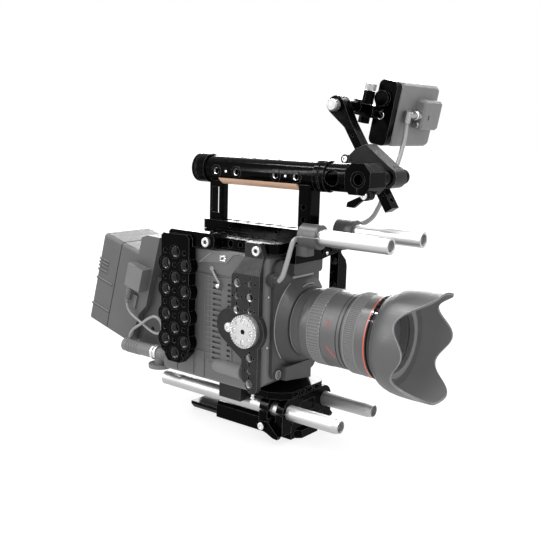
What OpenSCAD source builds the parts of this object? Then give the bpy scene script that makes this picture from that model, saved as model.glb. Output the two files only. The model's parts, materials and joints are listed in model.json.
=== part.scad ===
// Cinema camera rig: a cage, a top handle, a dovetail base and 15 mm rods
// round a cinema camera with a zoom lens, a battery on a tilted plate and
// a small monitor on an adjustable arm. Millimetres.
// +X is the way the lens points, +Y the operator's left, +Z up.
// The origin is the tripod thread on the underside of the dovetail plate.

/* [Base] */
// Length of the dovetail plate
plate_len = 143; // [120:1:170]
// Width of the dovetail plate at its flared top
plate_w = 44; // [40:1:46]
// Thickness of the dovetail plate
plate_t = 8; // [7:0.5:9]
// Length of the receiver that slides on the dovetail plate
receiver_len = 98; // [90:1:110]
// Length of the rod bracket along the rods
bracket_len = 29; // [26:1:32]
// Thickness of the plate under the camera
camera_plate_t = 7; // [6:0.5:9]

/* [Rods] */
// Diameter of every support rod
rod_d = 15; // [14:0.5:16]
// Distance between the two rods of a pair
rod_spacing = 60; // [58:1:64]
// Wall thickness of the rod tubes
rod_wall = 2; // [1.5:0.5:3]
// Height of the lower rods above the floor
rod_z = 30; // [30:1:34]
// Length of the lower rods
lower_rod_len = 228; // [200:2:260]
// Length of the upper rods
upper_rod_len = 93; // [80:1:120]

/* [Camera] */
// Depth of the camera body along the lens axis
camera_depth = 137; // [125:1:140]
// Distance from the lens axis to the right side of the camera
camera_right = 57; // [54:1:58]
// Distance from the lens axis to the left side of the camera
camera_left = 66; // [62:1:70]
// Distance from the lens axis to the left side of the narrow front
front_left = 31; // [28:1:34]
// Height of the camera body
camera_h = 135; // [130:1:145]
// Height of the lens axis above the bottom of the camera
axis_h = 65; // [62:1:68]

/* [Lens] */
// Outer diameter of the lens at its front rim
rim_d = 79; // [77:0.5:82]
// Radius of the hood at its long petals
hood_r = 50.5; // [49:0.5:53]
// Length of the hood to the tips of its long petals
hood_len = 49; // [46:1:54]

/* [Cage] */
// Thickness of the side plates
side_t = 6; // [5:0.5:7]
// Thickness of the top plate
top_t = 10; // [8:0.5:12]
// Thickness of the plate with rows of large holes
hole_plate_t = 10; // [8:0.5:12]
// Pitch of the accessory holes
hole_pitch = 13; // [12.5:0.1:13.4]
// Diameter of the rosette
rosette_d = 31.8; // [30:0.2:33]

/* [Handle] */
// Diameter of the grip bar
grip_d = 26; // [24:0.5:28]
// Clear height for the fingers under the grip
finger_gap = 39.5; // [38:0.5:44]
// Thickness of the bar under the handle
handle_base_t = 9.5; // [8:0.5:11]

/* [Monitor] */
// Width of the monitor with its side bracket
monitor_w = 95; // [90:1:104]
// Height of the monitor
monitor_h = 66; // [60:1:70]
// Depth of the monitor
monitor_t = 21; // [19:0.5:24]
// Forward tilt of the monitor's top
monitor_tilt = 10.5; // [6:0.5:14]
// Backward lean of the arm's top
arm_lean = 32.5; // [30:0.5:35]
// Length of the arm from its pivot to its lower end
arm_len = 119; // [114:1:124]

/* [Battery] */
// Width of the battery
battery_w = 71; // [66:1:76]
// Height of the battery
battery_h = 107; // [100:1:112]
// Depth of the battery
battery_d = 61; // [54:1:66]
// Forward tilt of the battery's top
battery_tilt = 15; // [12:1:17]

/* [Hidden] */
$fn = 48;

// Fits and small features
fit = 0.05;
slide_fit = 0.1;
gap = 0.3;
quarter_r = 2.55;
three_eighths_r = 3.97;
pin_hole_r = 1.1;
pin_hole_reach = 5.6;
over = 1;

// Base
rod_r = rod_d / 2;
rod_y = rod_spacing / 2;
clamp_r = rod_r + 4.5;
plate_x = -72;
plate_waist = plate_w - 8;
flare_z = plate_t * 0.6;
thread_depth = plate_t - 2;
corner_cut = 6;
receiver_x = -31;
receiver_w = plate_w + 10;
receiver_z0 = 1;
receiver_z1 = rod_z - clamp_r;
bracket_x = receiver_x + receiver_len - bracket_len;
bracket_rise = 14;
bracket_z1 = rod_z + bracket_rise;
clamp_cut_x = bracket_x + 12;
clamp_cut_len = 7;
clamp_window_x = [clamp_cut_x - 2, clamp_cut_x + clamp_cut_len + 1.5];
leg_y = [receiver_w / 2 + gap, rod_y + clamp_r];
leg_z0 = 8.5;
camera_plate_x = -14;
camera_plate_front = receiver_x + receiver_len + 2;
camera_plate_half = 32;
lever_pivot = [bracket_x + 8.5, rod_z - 13.5];
lever_r = 5;
lever_t = 5;
rear_block_x = [-12, 16];
rear_block_top = bracket_z1 + 6;
rod_tip = 6;

// Camera
cam_x1 = 53;
cam_x0 = cam_x1 - camera_depth;
cam_z0 = bracket_z1 + camera_plate_t;
cam_z1 = cam_z0 + camera_h;
axis_z = cam_z0 + axis_h;
cover_t = 4;
cover_x = cam_x1 + cover_t;
boss_r = 46;
boss_t = 8;
mount_x = cover_x + boss_t;
front_edge = front_left - 5;
step_x = cam_x1 - 27;
chin = [
    [-21, 0], [-13, 2], [-6, 6], [0, 11], [9, 12], [9, -9], [-21, -9]
];
button_y = -40;
button_z = cam_z0 + 18;
button_r = 5;
socket_y = -49;
socket_z = cam_z1 - 23;
socket_x = cover_x + 5;
vent_x = [-16, 15];
vent_cols = [[-12, -1], [7, 11.5]];
vent_z = [cam_z0 + 20, cam_z0 + 108];
vent_t = 3;
vent_rows = 15;
pad_t = 2;

// Lens, measured along the axis from the mount face
tube_r = 33.5;
rim_r = rim_d / 2;
focus_r = rim_r - 0.5;
band_r = rim_r - 2.3;
zoom_r = rim_r - 1.9;
seat_r = rim_r - 1.3;
zoom_x = mount_x + 22.5;
zoom_len = 15;
band_x = zoom_x + zoom_len;
band_len = 25.5;
focus_x = band_x + band_len;
focus_len = 13.5;
rim_x = focus_x + focus_len;
rim_len = 23.5;
accent_x = rim_x + 9.5;
accent_len = 2.2;
lens_end = rim_x + rim_len;
hood_x = lens_end - 5.2;
hood_wall = 2;
hood_seat_r = seat_r + gap;
hood_back_r = rim_r + 3.8;
hood_flare = 8.5;
hood_collar = [4, 6];
hood_sides = 96;
hood_steps = 9;

// Cage
top_z0 = cam_z1 + pad_t;
top_z1 = top_z0 + top_t;
top_x = [-62, 62];
top_right = -55;
top_left = 66;
right_in = -camera_right - 3;
right_out = right_in - side_t;
left_in = top_left + 1;
left_out = left_in + 17;
left_x = [42.5, 53];
lug_t = 6;
lug_grip = 4;
lug_z = top_z1 - 7;
front_lug_x = 46;
rear_lug_x = -12;
rear_lug_z = top_z1 - 4.5;
bridge_x = [-64, -3];
bridge_z = [cam_z1 + 1, top_z1 + 4];
jog_z = [top_z1 - 33, top_z1 - 14];
rosette_c = [39, axis_z - 2];
side_knob = [18.5, axis_z - 1.5];
rosette_r = rosette_d / 2;
rosette_t = 6;
hole_plate_out = -72;
hole_plate_in = hole_plate_out + hole_plate_t;
hole_cols = [-50.5 - hole_pitch, -50.5, -50.5 + hole_pitch];
hole_rows = 9;
hole_top = top_z1 - 18;
big_hole_r = 5.6;
screw_head_r = 4.6;
screw_head_t = 3;

// Handle
grip_r = grip_d / 2;
base_half = 12;
base_x = [-68, 68];
base_z1 = top_z1 + handle_base_t;
grip_z = base_z1 + finger_gap + grip_r;
grip_x = [-66, 72];
cap_x = -82;
grip_holes = [-49, -22.5, 27.5, 52.4];
grip_pins = [-36.6, 39.2];
grip_hole_z = grip_z - 1.5;
flange_r = grip_r + 2;
post_x = 52.5;
post_len = 14.5;
post_half = 9.5;
rear_post_x = [-65.7, -47];
rear_post_half = 5;
rear_slot_x = [-61.6, -52];
rear_slot_z = [base_z1 + 7, base_z1 + 34];
post_hole_z = [base_z1 + 10, base_z1 + 22];
neck_x = 84;
socket_bore_x = 93;
head_x = [108, 135];
head_half = 14;
cross_x = 122;
lock_pivot = [128, grip_z - 14];
lock_r = 4.8;

// Cross rod, arm and monitor
cross_y = [-13, 70];
block_y = [38, 57.5];
collar_y1 = 58.5;
collar_r = rod_r + 3;
arm_y = [41.5, 54.5];
arm_w = 9;
arm_x = [2.5 - arm_w / 2, 2.5 + arm_w / 2];
head_taper = 24;
arm_pass = [-31, 16.2];
arm_up = 61;
pivot_x = cross_x + arm_pass[0] - arm_up * sin(arm_lean);
pivot_z = grip_z + arm_pass[1] + arm_up * cos(arm_lean);
head_r = 9.5;
shank_r = 4;
knob_y = 34.5;
knob_r = 6;
swivel_y = [80, 93];
swivel_x = 8;
swivel_z = [-15, 18];
sleeve_r = 5.8;
sleeve_y = arm_y[1] + 0.4;
knob_axis_y = 86.5;
bracket_y = swivel_y[1];
side_bracket_t = 10;
monitor_y0 = bracket_y + side_bracket_t;
monitor_y1 = bracket_y + monitor_w;
monitor_x0 = 14;
monitor_x1 = monitor_x0 + monitor_t;
monitor_z1 = 31.7;
monitor_z0 = monitor_z1 - monitor_h;
screen_t = 1.5;
box_y = [bracket_y + 46, bracket_y + 85];
box_t = 12;
box_z = [-14, 17];
plug_x = monitor_x1 + 5.5;
plug_z = 0;
plug_r = 3.5;
elbow_y = box_y[0] - 22;
elbow_drop = 8;

// Upper rods
upper_z = top_z1 + 8;
upper_x = 76;
upper_bar_x = top_x[1];
upper_bar_t = 10;
upper_clamp_len = 20;
upper_clamp_r = rod_r + 4;
upper_bar_z = [top_z1 - 19.5, top_z1 - 2];

// Battery, in a frame with its origin at the top of the battery's front face
bat_x = cam_x0 - 54.5;
bat_z = cam_z1 - 23.5;
bat_top = 2.5;
seam_x = -30.5;
bat_half = battery_w / 2;
bat_plate_half = 38;
bat_profile = [
    [gap, -100], [14, -100], [18, -64], [26, -50], [26, 30], [8, 26], [gap, 21]
];
tongue_t = 5;
tongue_z = [-78, -18];
tongue_w = [26, 42];
lower_rod_x = cam_x0 - 18;
cheek_y = [24, 30];
dtap_x = [-1, 22];
dtap_z = [-34, -8];
dtap_y = -bat_plate_half;
dtap_out = 12;
relief_x = 2.5;
relief_z = -55;
plug_y = -46;
plug_axis_z = cam_z0 + 10.5;
power_x = [cam_x0 - 66, cam_x0 - 4];
boot_r = 7.3;
boot_x = cam_x0 - 60;
boot_top = plug_axis_z + 9;
foot_x = cam_x0 - 12;
foot_z = cam_z0 - 4.5;

// Routes of the two cables
cable_r = 2.5;
power_cable_r = 1.5;
function tilted(c, a, p) = [
    c[0] + p[0] * cos(a) + p[2] * sin(a), p[1], c[1] - p[0] * sin(a) + p[2] * cos(a)
];
cable_top = tilted([pivot_x, pivot_z], monitor_tilt, [plug_x, elbow_y, plug_z - elbow_drop]);
relief_end = tilted([bat_x, bat_z], battery_tilt, [relief_x, dtap_y - dtap_out / 2, relief_z]);
monitor_route = [
    cable_top, [97.3, 115, 301.6], [98.3, 111, 293], [99.1, 106, 285], [100.3, 100, 277],
    [101, 93, 267.5], [101, 86, 257], [100, 79, 245], [97.5, 71, 232], [94, 65, 219.5],
    [89, 59, 213], [82, 53, 209.5], [74, 46, 206.5], [70.5, 37, 204], [70.5, 26, 202.5],
    [70.8, 13, 202], [70.8, 0, 202], [70.8, -14, 202.2], [70.8, -28, 202.6], [70.4, -38, 200.8],
    [69.5, -41.6, 192.5], [68.5, -44, 183.5], [67.5, -46.6, 174.8], [66, -48.5, 167.5],
    [socket_x, socket_y, socket_z]
];
function behind(p) = [cam_x0 + p[0], p[1], p[2]];
power_route = [
    relief_end, behind([-64.5, -44, 102.5]), behind([-58.5, -44, 96.5]), behind([-48, -44, 91.5]),
    behind([-37, -44.5, 87]), behind([-26, -45, 83]), behind([-16, -45.5, 82.5]), behind([-9.5, -46, 88]),
    behind([-11, -47, 97]), behind([-19, -47.5, 101]), behind([-29, -47.5, 97]), behind([-41, -47, 89]),
    behind([-52, -46.5, 82]), behind([-58, -46, 76]), [boot_x, plug_y, boot_top]
];
join_1 = 3;
join_2 = 6;
join_3 = 9;

// A smooth curve through a list of points, sampled in equal steps
function at(p, i) = p[min(max(i, 0), len(p) - 1)];
function curve(p, i, t) = 0.5 * (
    2 * at(p, i) + t * (at(p, i + 1) - at(p, i - 1))
    + t * t * (2 * at(p, i - 1) - 5 * at(p, i) + 4 * at(p, i + 1) - at(p, i + 2))
    + t * t * t * (3 * at(p, i) - at(p, i - 1) - 3 * at(p, i + 1) + at(p, i + 2))
);
function samples(p, i0, i1, n) = [for (k = [0 : (i1 - i0) * n])
    curve(p, i0 + floor(k / n), (k % n) / n)];
function unit(v) = v / norm(v);
function heading(p, i) = unit(at(p, i + 1) - at(p, i - 1));
function cord_ring(c, d, r, sides) = let (
    side = unit(cross(d, abs(d[0]) > 0.8 ? [0, 1, 0] : [1, 0, 0])),
    up = cross(side, d)
) [for (k = [0 : sides - 1]) let (a = 360 * k / sides) c + r * (cos(a) * side + sin(a) * up)];

// A round cord swept along part of a route, with square ends
module cord(route, i0, i1, n, r, first, last, sides = 8) {
    path = samples(route, i0, i1, n);
    count = len(path);
    dirs = [for (i = [0 : count - 1]) i == 0 ? first : i == count - 1 ? last : heading(path, i)];
    points = [for (i = [0 : count - 1]) each cord_ring(path[i], dirs[i], r, sides)];
    walls = [for (i = [0 : count - 2], k = [0 : sides - 1]) let (m = (k + 1) % sides)
        each [
            [i * sides + k, i * sides + m, (i + 1) * sides + m],
            [i * sides + k, (i + 1) * sides + m, (i + 1) * sides + k]
        ]];
    ends = [
        [for (k = [sides - 1 : -1 : 0]) k],
        [for (k = [0 : sides - 1]) (count - 1) * sides + k]
    ];
    polyhedron(points, concat(walls, ends));
}

// Extrusions and cylinders along the three axes
module along_x(x, len) {
    translate([x, 0, 0]) rotate([90, 0, 90]) linear_extrude(len) children();
}
module along_y(y, len) {
    translate([0, y + len, 0]) rotate([90, 0, 0]) linear_extrude(len) children();
}
module along_z(z, len) {
    translate([0, 0, z]) linear_extrude(len) children();
}
module x_cyl(x, len, r, y, z, r2 = undef) {
    translate([x, y, z]) rotate([0, 90, 0]) cylinder(h = len, r1 = r, r2 = is_undef(r2) ? r : r2);
}
module y_cyl(y, len, r, x, z, r2 = undef) {
    translate([x, y, z]) rotate([-90, 0, 0]) cylinder(h = len, r1 = r, r2 = is_undef(r2) ? r : r2);
}
module z_cyl(z, len, r, x, y, r2 = undef) {
    translate([x, y, z]) cylinder(h = len, r1 = r, r2 = is_undef(r2) ? r : r2);
}
module box(x, y, z) {
    translate([x[0], y[0], z[0]]) cube([x[1] - x[0], y[1] - y[0], z[1] - z[0]]);
}
module rounded(u, v, r) {
    translate([u[0] + r, v[0]]) square([u[1] - u[0] - 2 * r, v[1] - v[0]]);
    translate([u[0], v[0] + r]) square([u[1] - u[0], v[1] - v[0] - 2 * r]);
    for (a = [u[0] + r, u[1] - r], b = [v[0] + r, v[1] - r]) translate([a, b]) circle(r);
}
module on_axis(x) {
    translate([x, 0, axis_z]) rotate([0, 90, 0]) children();
}
module tube(x, len, r_in, r_out) {
    on_axis(x) rotate_extrude($fn = 96) translate([r_in, 0]) square([r_out - r_in, len]);
}
module monitor_frame() {
    translate([pivot_x, 0, pivot_z]) rotate([0, monitor_tilt, 0]) children();
}
module arm_frame() {
    translate([pivot_x, 0, pivot_z]) rotate([0, -arm_lean, 0]) children();
}
module battery_frame() {
    translate([bat_x, 0, bat_z]) rotate([0, battery_tilt, 0]) children();
}

// A box with rounded corners on one axis and chamfered rims
module soft_x(x, y, z, r, c) {
    hull() {
        along_x(x[0] + c, x[1] - x[0] - 2 * c) rounded(y, z, r, $fn = 32);
        along_x(x[0], x[1] - x[0]) rounded([y[0] + c, y[1] - c], [z[0] + c, z[1] - c], r - c, $fn = 32);
    }
}
module soft_z(x, y, z, r, c) {
    hull() {
        along_z(z[0] + c, z[1] - z[0] - 2 * c) rounded(x, y, r, $fn = 32);
        along_z(z[0], z[1] - z[0]) rounded([x[0] + c, x[1] - c], [y[0] + c, y[1] - c], r - c, $fn = 32);
    }
}

// A threaded accessory hole along Y with its four locating pin holes
module accessory_holes(y, len, r, x, z) {
    y_cyl(y, len, r, x, z);
    for (s = [-1, 1]) {
        y_cyl(y, len, pin_hole_r, x + s * pin_hole_reach, z, $fn = 16);
        y_cyl(y, len, pin_hole_r, x, z + s * pin_hole_reach, $fn = 16);
    }
}

// Base
module dovetail_profile(grow) {
    polygon([
        [-plate_waist / 2 - grow, -grow], [plate_waist / 2 + grow, -grow],
        [plate_w / 2 + grow, flare_z - grow], [plate_w / 2 + grow, plate_t + grow],
        [-plate_w / 2 - grow, plate_t + grow], [-plate_w / 2 - grow, flare_z - grow]
    ]);
}
module dovetail_plate() {
    color("#1b1c1e") difference() {
        along_x(plate_x, plate_len) dovetail_profile(0);
        for (s = [-1, 1]) translate([plate_x + plate_len, s * plate_w / 2, -over]) rotate([0, 0, 45])
            translate([-corner_cut, -corner_cut, 0])
                cube([2 * corner_cut, 2 * corner_cut, plate_t + 2 * over]);
        z_cyl(-over, thread_depth + over, three_eighths_r, 0, 0);
        for (x = [-50, -25, 25, 50]) z_cyl(-over, plate_t + 2 * over, quarter_r, x, 0);
        for (x = [-37, 37]) z_cyl(-over, plate_t + 2 * over, three_eighths_r, x, 0);
    }
}
module receiver() {
    half = receiver_w / 2;
    color("#1d1e20") {
        difference() {
            along_x(receiver_x, receiver_len) polygon([
                [-half, receiver_z0], [half, receiver_z0], [half, receiver_z1 - 3],
                [half - 3, receiver_z1], [3 - half, receiver_z1], [-half, receiver_z1 - 3]
            ]);
            along_x(receiver_x - over, receiver_len + 2 * over) dovetail_profile(slide_fit);
            box([receiver_x - over, receiver_x + receiver_len + over],
                [-plate_waist / 2 - slide_fit, plate_waist / 2 + slide_fit], [-over, flare_z]);
        }
    }
}
module clamp_lever(side) {
    p = lever_pivot;
    y0 = side > 0 ? leg_y[1] + 0.4 : -leg_y[1] - 0.4 - lever_t;
    color("#17181a") difference() {
        union() {
            y_cyl(y0, lever_t, lever_r, p[0], p[1]);
            along_y(y0, lever_t) polygon([
                p + [1, 4.9], p + [7, 5.2], p + [10, 1.5], p + [20, -7.5], p + [18.5, -10.5], p + [13, -10],
                p + [5, -6.5], p + [-2, -4.5]
            ]);
        }
        y_cyl(y0 - over, lever_t + 2 * over, 2.5 + fit, p[0], p[1]);
    }
}
module base_lever() { clamp_lever(-1); }
module base_lever_left() { clamp_lever(1); }
module rod_bracket() {
    p = lever_pivot;
    color("#18191b") {
        bracket_casting();
        for (s = [-1, 1]) {
            y_cyl(s > 0 ? leg_y[1] - over : -leg_y[1] - lever_t - over, lever_t + 2 * over, 2.5, p[0], p[1]);
            y_cyl(s > 0 ? leg_y[1] + lever_t + 0.7 : -leg_y[1] - lever_t - 2.7, 2, 4, p[0], p[1]);
        }
    }
}
module bracket_casting() {
    difference() {
        along_x(bracket_x, bracket_len) {
            translate([-rod_y, receiver_z1]) square([rod_spacing, bracket_z1 - receiver_z1]);
            for (s = [-1, 1]) {
                translate([s > 0 ? leg_y[0] : -leg_y[1], leg_z0])
                    square([leg_y[1] - leg_y[0], rod_z - leg_z0]);
                translate([s * rod_y, rod_z]) circle(clamp_r);
                intersection() {
                    translate([s * (rod_y - 2), rod_z]) circle(bracket_rise);
                    translate([-rod_spacing, rod_z]) square([2 * rod_spacing, bracket_rise]);
                }
            }
        }
        for (s = [-1, 1]) {
            x_cyl(bracket_x - over, bracket_len + 2 * over, rod_r + slide_fit, s * rod_y, rod_z);
            box([clamp_cut_x, clamp_cut_x + clamp_cut_len],
                s > 0 ? [rod_y - 3, rod_y + 20] : [-rod_y - 20, 3 - rod_y], [0, bracket_z1 + over]);
            box(clamp_window_x, s > 0 ? [rod_y - 3, rod_y + 20] : [-rod_y - 20, 3 - rod_y],
                [rod_z - rod_r - 0.5, bracket_z1 + over]);
            box([bracket_x - over, bracket_x + bracket_len + over],
                s > 0 ? [rod_y, rod_y + 20] : [-rod_y - 20, -rod_y], [rod_z - 0.7, rod_z + 0.7]);
        }
        along_x(bracket_x + bracket_len - 1.5, 3) rounded([-13, 13], [rod_z - 6, rod_z + 6], 2);
    }
}
module camera_plate() {
    x1 = camera_plate_front;
    half = camera_plate_half;
    color("#1b1c1e") difference() {
        along_z(bracket_z1, camera_plate_t) polygon([
            [camera_plate_x, -half], [22, -half], [30, -44], [50, -45], [x1 - 7, -39], [x1, -30], [x1, 20],
            [x1 - 3, 26], [x1 - 9, half], [camera_plate_x, half]
        ]);
        for (y = [-24, -12, 0, 12])
            box([x1 - 4, x1 + over], [y - 4, y + 4], [bracket_z1 + 1.8, bracket_z1 + camera_plate_t - 1.8]);
        for (x = [0, 28]) z_cyl(bracket_z1 - over, camera_plate_t + 2 * over, quarter_r, x, 0);
    }
}
module rear_rod_block() {
    x = rear_block_x;
    half = rod_y + 15;
    inner = camera_plate_half + gap;
    saddle_z = rod_z + 3;
    color("#6f7275") difference() {
        along_x(x[0], x[1] - x[0]) polygon([
            [-half, saddle_z], [half, saddle_z], [half, rear_block_top], [inner, rear_block_top],
            [inner, bracket_z1 - gap], [-inner, bracket_z1 - gap], [-inner, rear_block_top],
            [-half, rear_block_top]
        ]);
        for (s = [-1, 1])
            x_cyl(x[0] - over, x[1] - x[0] + 2 * over, rod_r + slide_fit, s * rod_y, rod_z);
    }
}
module lower_rod(side) {
    color("#d9dbdd") difference() {
        union() {
            x_cyl(lower_rod_x, lower_rod_len - rod_tip, rod_r, side * rod_y, rod_z);
            x_cyl(lower_rod_x + lower_rod_len - rod_tip, rod_tip, rod_r, side * rod_y, rod_z, rod_r - 1.3);
        }
        x_cyl(lower_rod_x - over, lower_rod_len + 2 * over, rod_r - rod_wall, side * rod_y, rod_z);
    }
}
module lower_rod_right() { lower_rod(-1); }
module lower_rod_left() { lower_rod(1); }

// Camera
module camera_body() {
    color("#6d7073") difference() {
        union() {
            soft_z([cam_x0, step_x], [-camera_right, camera_left], [cam_z0, cam_z1], 8, 3);
            soft_z([cam_x0 + 10, cam_x1], [-camera_right, front_left], [cam_z0, cam_z1], 8, 3);
            along_z(cam_z1 - over, pad_t + over) rounded([-30, 36], [-30, 28], 6);
            y_cyl(right_in, 4, 14, rosette_c[0], rosette_c[1]);
            x_cyl(power_x[1], cam_x0 - power_x[1] + over, boot_r + 0.5, plug_y, plug_axis_z);
        }
        along_y(-camera_right - over, camera_right + front_left + 2 * over)
            polygon([for (p = chin) [cam_x1 + p[0], cam_z0 + p[1]]]);
        box(vent_x, [-camera_right - over, vent_t - camera_right], vent_z);
        for (x = [-37, -60]) box([x, x + 1.2], [-camera_right - over, 0.8 - camera_right],
            [cam_z0 - over, cam_z1 + over]);
        box([cam_x0 - over, cam_x1 + over], [-camera_right - over, 0.8 - camera_right],
            [cam_z1 - 26, cam_z1 - 24.8]);
        box([cam_x0 - over, step_x + over], [camera_left - 0.8, camera_left + over],
            [cam_z1 - 26, cam_z1 - 24.8]);
    }
}
module camera_front() {
    color("#6a6d70") difference() {
        union() {
            along_x(cam_x1, cover_t) rounded([9 - camera_right, front_edge], [cam_z0 + 12, cam_z1 - 5], 10);
            intersection() {
                x_cyl(cover_x, boss_t, boss_r, 0, axis_z, boss_r - 10, $fn = 96);
                box([cam_x1, mount_x], [-boss_r - over, front_edge], [cam_z0, cam_z1]);
            }
            along_x(cover_x - over, 6 + over) polygon([
                [-34, cam_z0 + 25], [9, cam_z0 + 25], [9, cam_z0 + 6], [-34, cam_z0 + 11.5]
            ]);
            x_cyl(cam_x1, socket_x - cam_x1 - 3, 6.5, socket_y, socket_z);
            x_cyl(cam_x1, socket_x - cam_x1, 4.5, socket_y, socket_z);
            along_x(cover_x, 5) rounded([-24, 24], [cam_z1 - 22, cam_z1 - 6], 4);
        }
        x_cyl(cover_x - 3, 3 + over, button_r + fit, button_y, button_z);
    }
}
module vent_grille() {
    pitch = (vent_z[1] - vent_z[0] - 6) / vent_rows;
    color("#56595c") difference() {
        box([vent_x[0] + gap, vent_x[1] - gap], [-camera_right, vent_t - camera_right],
            [vent_z[0] + gap, vent_z[1] - gap]);
        for (i = [0 : vent_rows - 1], x = vent_cols)
            box(x, [-camera_right - over, vent_t - 0.8 - camera_right],
                [vent_z[0] + 4 + i * pitch, vent_z[0] + 6.2 + i * pitch]);
    }
}
module record_button() {
    color("#a33a33") x_cyl(cover_x - 1.5, 3.2, button_r, button_y, button_z);
}

// Lens
module lens_barrel() {
    zoom_end = zoom_x - mount_x - gap;
    end = lens_end - mount_x;
    color("#5d6063") on_axis(mount_x) rotate_extrude($fn = 96) polygon([
        [22, 0], [32, 0], [34, 1.5], [34, 11], [35.5, 12], [36, 13], [36, zoom_end], [tube_r, zoom_end],
        [tube_r, end - 6], [30, end - 6], [27, end - 22], [27, 20], [22, 16]
    ]);
}
module ribbed_ring(x, len, r, ribs, depth) {
    color("#3c3e40") difference() {
        tube(x, len, tube_r + fit, r);
        for (i = [0 : ribs - 1]) on_axis(x + 2.5) rotate([0, 0, 360 * i / ribs])
            translate([r - depth, -r * 1.3 / ribs, 0]) cube([5, r * 2.6 / ribs, len - 5]);
    }
}
module zoom_ring() { ribbed_ring(zoom_x, zoom_len - gap, zoom_r, 36, 1.4); }
module lens_band() {
    color("#5d6063") tube(band_x, band_len - gap, tube_r + fit, band_r);
}
module focus_ring() { ribbed_ring(focus_x, focus_len - gap, focus_r, 60, 1); }
module lens_front_rim() {
    color("#5d6063") on_axis(rim_x) rotate_extrude($fn = 96) polygon([
        [tube_r + fit, 0], [rim_r, 0], [rim_r, accent_x - rim_x], [seat_r, accent_x - rim_x],
        [seat_r, rim_len - 1], [seat_r - 1, rim_len], [tube_r - 2, rim_len],
        [tube_r - 2, rim_len - 5.5], [tube_r + fit, rim_len - 5.5]
    ]);
}
module lens_accent_ring() {
    color("#d8432f") tube(accent_x, accent_len, seat_r + fit, rim_r + 0.5);
}
module front_element() {
    color("#27303c") on_axis(lens_end - 20) rotate_extrude($fn = 96) polygon([
        [0, 0], [27.3, 0], [28.6, 7], [20, 9.5], [11, 11.2], [0, 11.8]
    ]);
}

// The hood's front edge: long petals above and below, short ones at the
// sides and a dip between each pair
function hood_edge(a) = hood_len - 12.45 + 11.5 * cos(2 * a) + 5.75 * cos(4 * a) - 4.8 * cos(6 * a);
function hood_outer(x) = hood_back_r + (hood_r - hood_back_r) * (1 - exp(-x / hood_flare));
function hood_along(a, j) = j == 0 ? 0 : j < 3 ? hood_collar[j - 1]
    : hood_collar[1] + (hood_edge(a) - hood_collar[1]) * (j - 2) / (hood_steps - 2);
function hood_point(a, j, inside) = let (
    x = hood_along(a, j),
    r = !inside ? hood_outer(x) : j < 2 ? hood_seat_r : hood_outer(x) - hood_wall
) [hood_x + x, r * sin(a), axis_z + r * cos(a)];
module lens_hood() {
    rows = hood_steps + 1;
    points = [for (inside = [false, true], j = [0 : hood_steps], i = [0 : hood_sides - 1])
        hood_point(360 * i / hood_sides, j, inside)];
    function id(s, j, i) = (s * rows + j) * hood_sides + i % hood_sides;
    skins = [for (s = [0, 1], j = [0 : hood_steps - 1], i = [0 : hood_sides - 1])
        let (a = id(s, j, i), b = id(s, j, i + 1), c = id(s, j + 1, i + 1), d = id(s, j + 1, i))
        each (s == 0 ? [[a, b, c], [a, c, d]] : [[c, b, a], [d, c, a]])];
    rims = [for (j = [0, hood_steps], i = [0 : hood_sides - 1])
        let (a = id(0, j, i), b = id(0, j, i + 1), c = id(1, j, i + 1), d = id(1, j, i))
        each (j > 0 ? [[a, b, c], [a, c, d]] : [[c, b, a], [d, c, a]])];
    color("#66696c") polyhedron(points, concat(skins, rims));
}

// Cage
module top_plate() {
    color("#17181a") difference() {
        along_z(top_z0, top_t) rounded(top_x, [top_right, top_left], 7);
        for (x = [-50 : 16 : 46], y = [top_right + 10, top_left - 10])
            z_cyl(top_z0 - over, top_t + 2 * over, quarter_r, x, y);
        for (x = [-42 : 16 : 38], y = [top_right + 10, top_left - 10])
            z_cyl(top_z1 - 3, 3 + over, 1.6, x, y, $fn = 24);
        for (x = [-42 : 16 : 38], s = [-1, 1])
            z_cyl(top_z0 - over, top_t + 2 * over, quarter_r, x, s > 0 ? 34 : -28);
        for (x = [8, 20]) y_cyl(top_right - over, 7, x > 10 ? quarter_r : 3.4, x, top_z0 + 5);
        for (p = [[front_lug_x, lug_z], [rear_lug_x, rear_lug_z]])
            y_cyl(top_right - over, lug_grip + 1 + over, 2.5 + fit, p[0], p[1]);
        y_cyl(top_left - lug_grip - 1, lug_grip + 1 + over, 2.5 + fit, front_lug_x, lug_z);
    }
}
module jog(x) {
    edge = top_right - 0.05;
    lug_out = edge - lug_t;
    intersection() {
        along_x(x[0] - 20, x[1] - x[0] + 20) polygon([
            [right_out, jog_z[0] - over], [right_in, jog_z[0] - over], [right_in, cam_z1 - 7.5],
            [edge, cam_z1 + 1.5], [edge, top_z1], [lug_out, top_z1], [lug_out, jog_z[1]],
            [right_out, jog_z[0] + 3]
        ]);
        along_y(right_out - lug_t, edge - right_out + 2 * lug_t) polygon([
            [x[0] - 12, jog_z[0] - over], [x[1], jog_z[0] - over], [x[1], top_z1 - 11],
            [x[1] - 5, top_z1], [x[0], top_z1], [x[0], jog_z[1]], [x[0] - 12, jog_z[0]]
        ]);
    }
}
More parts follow.
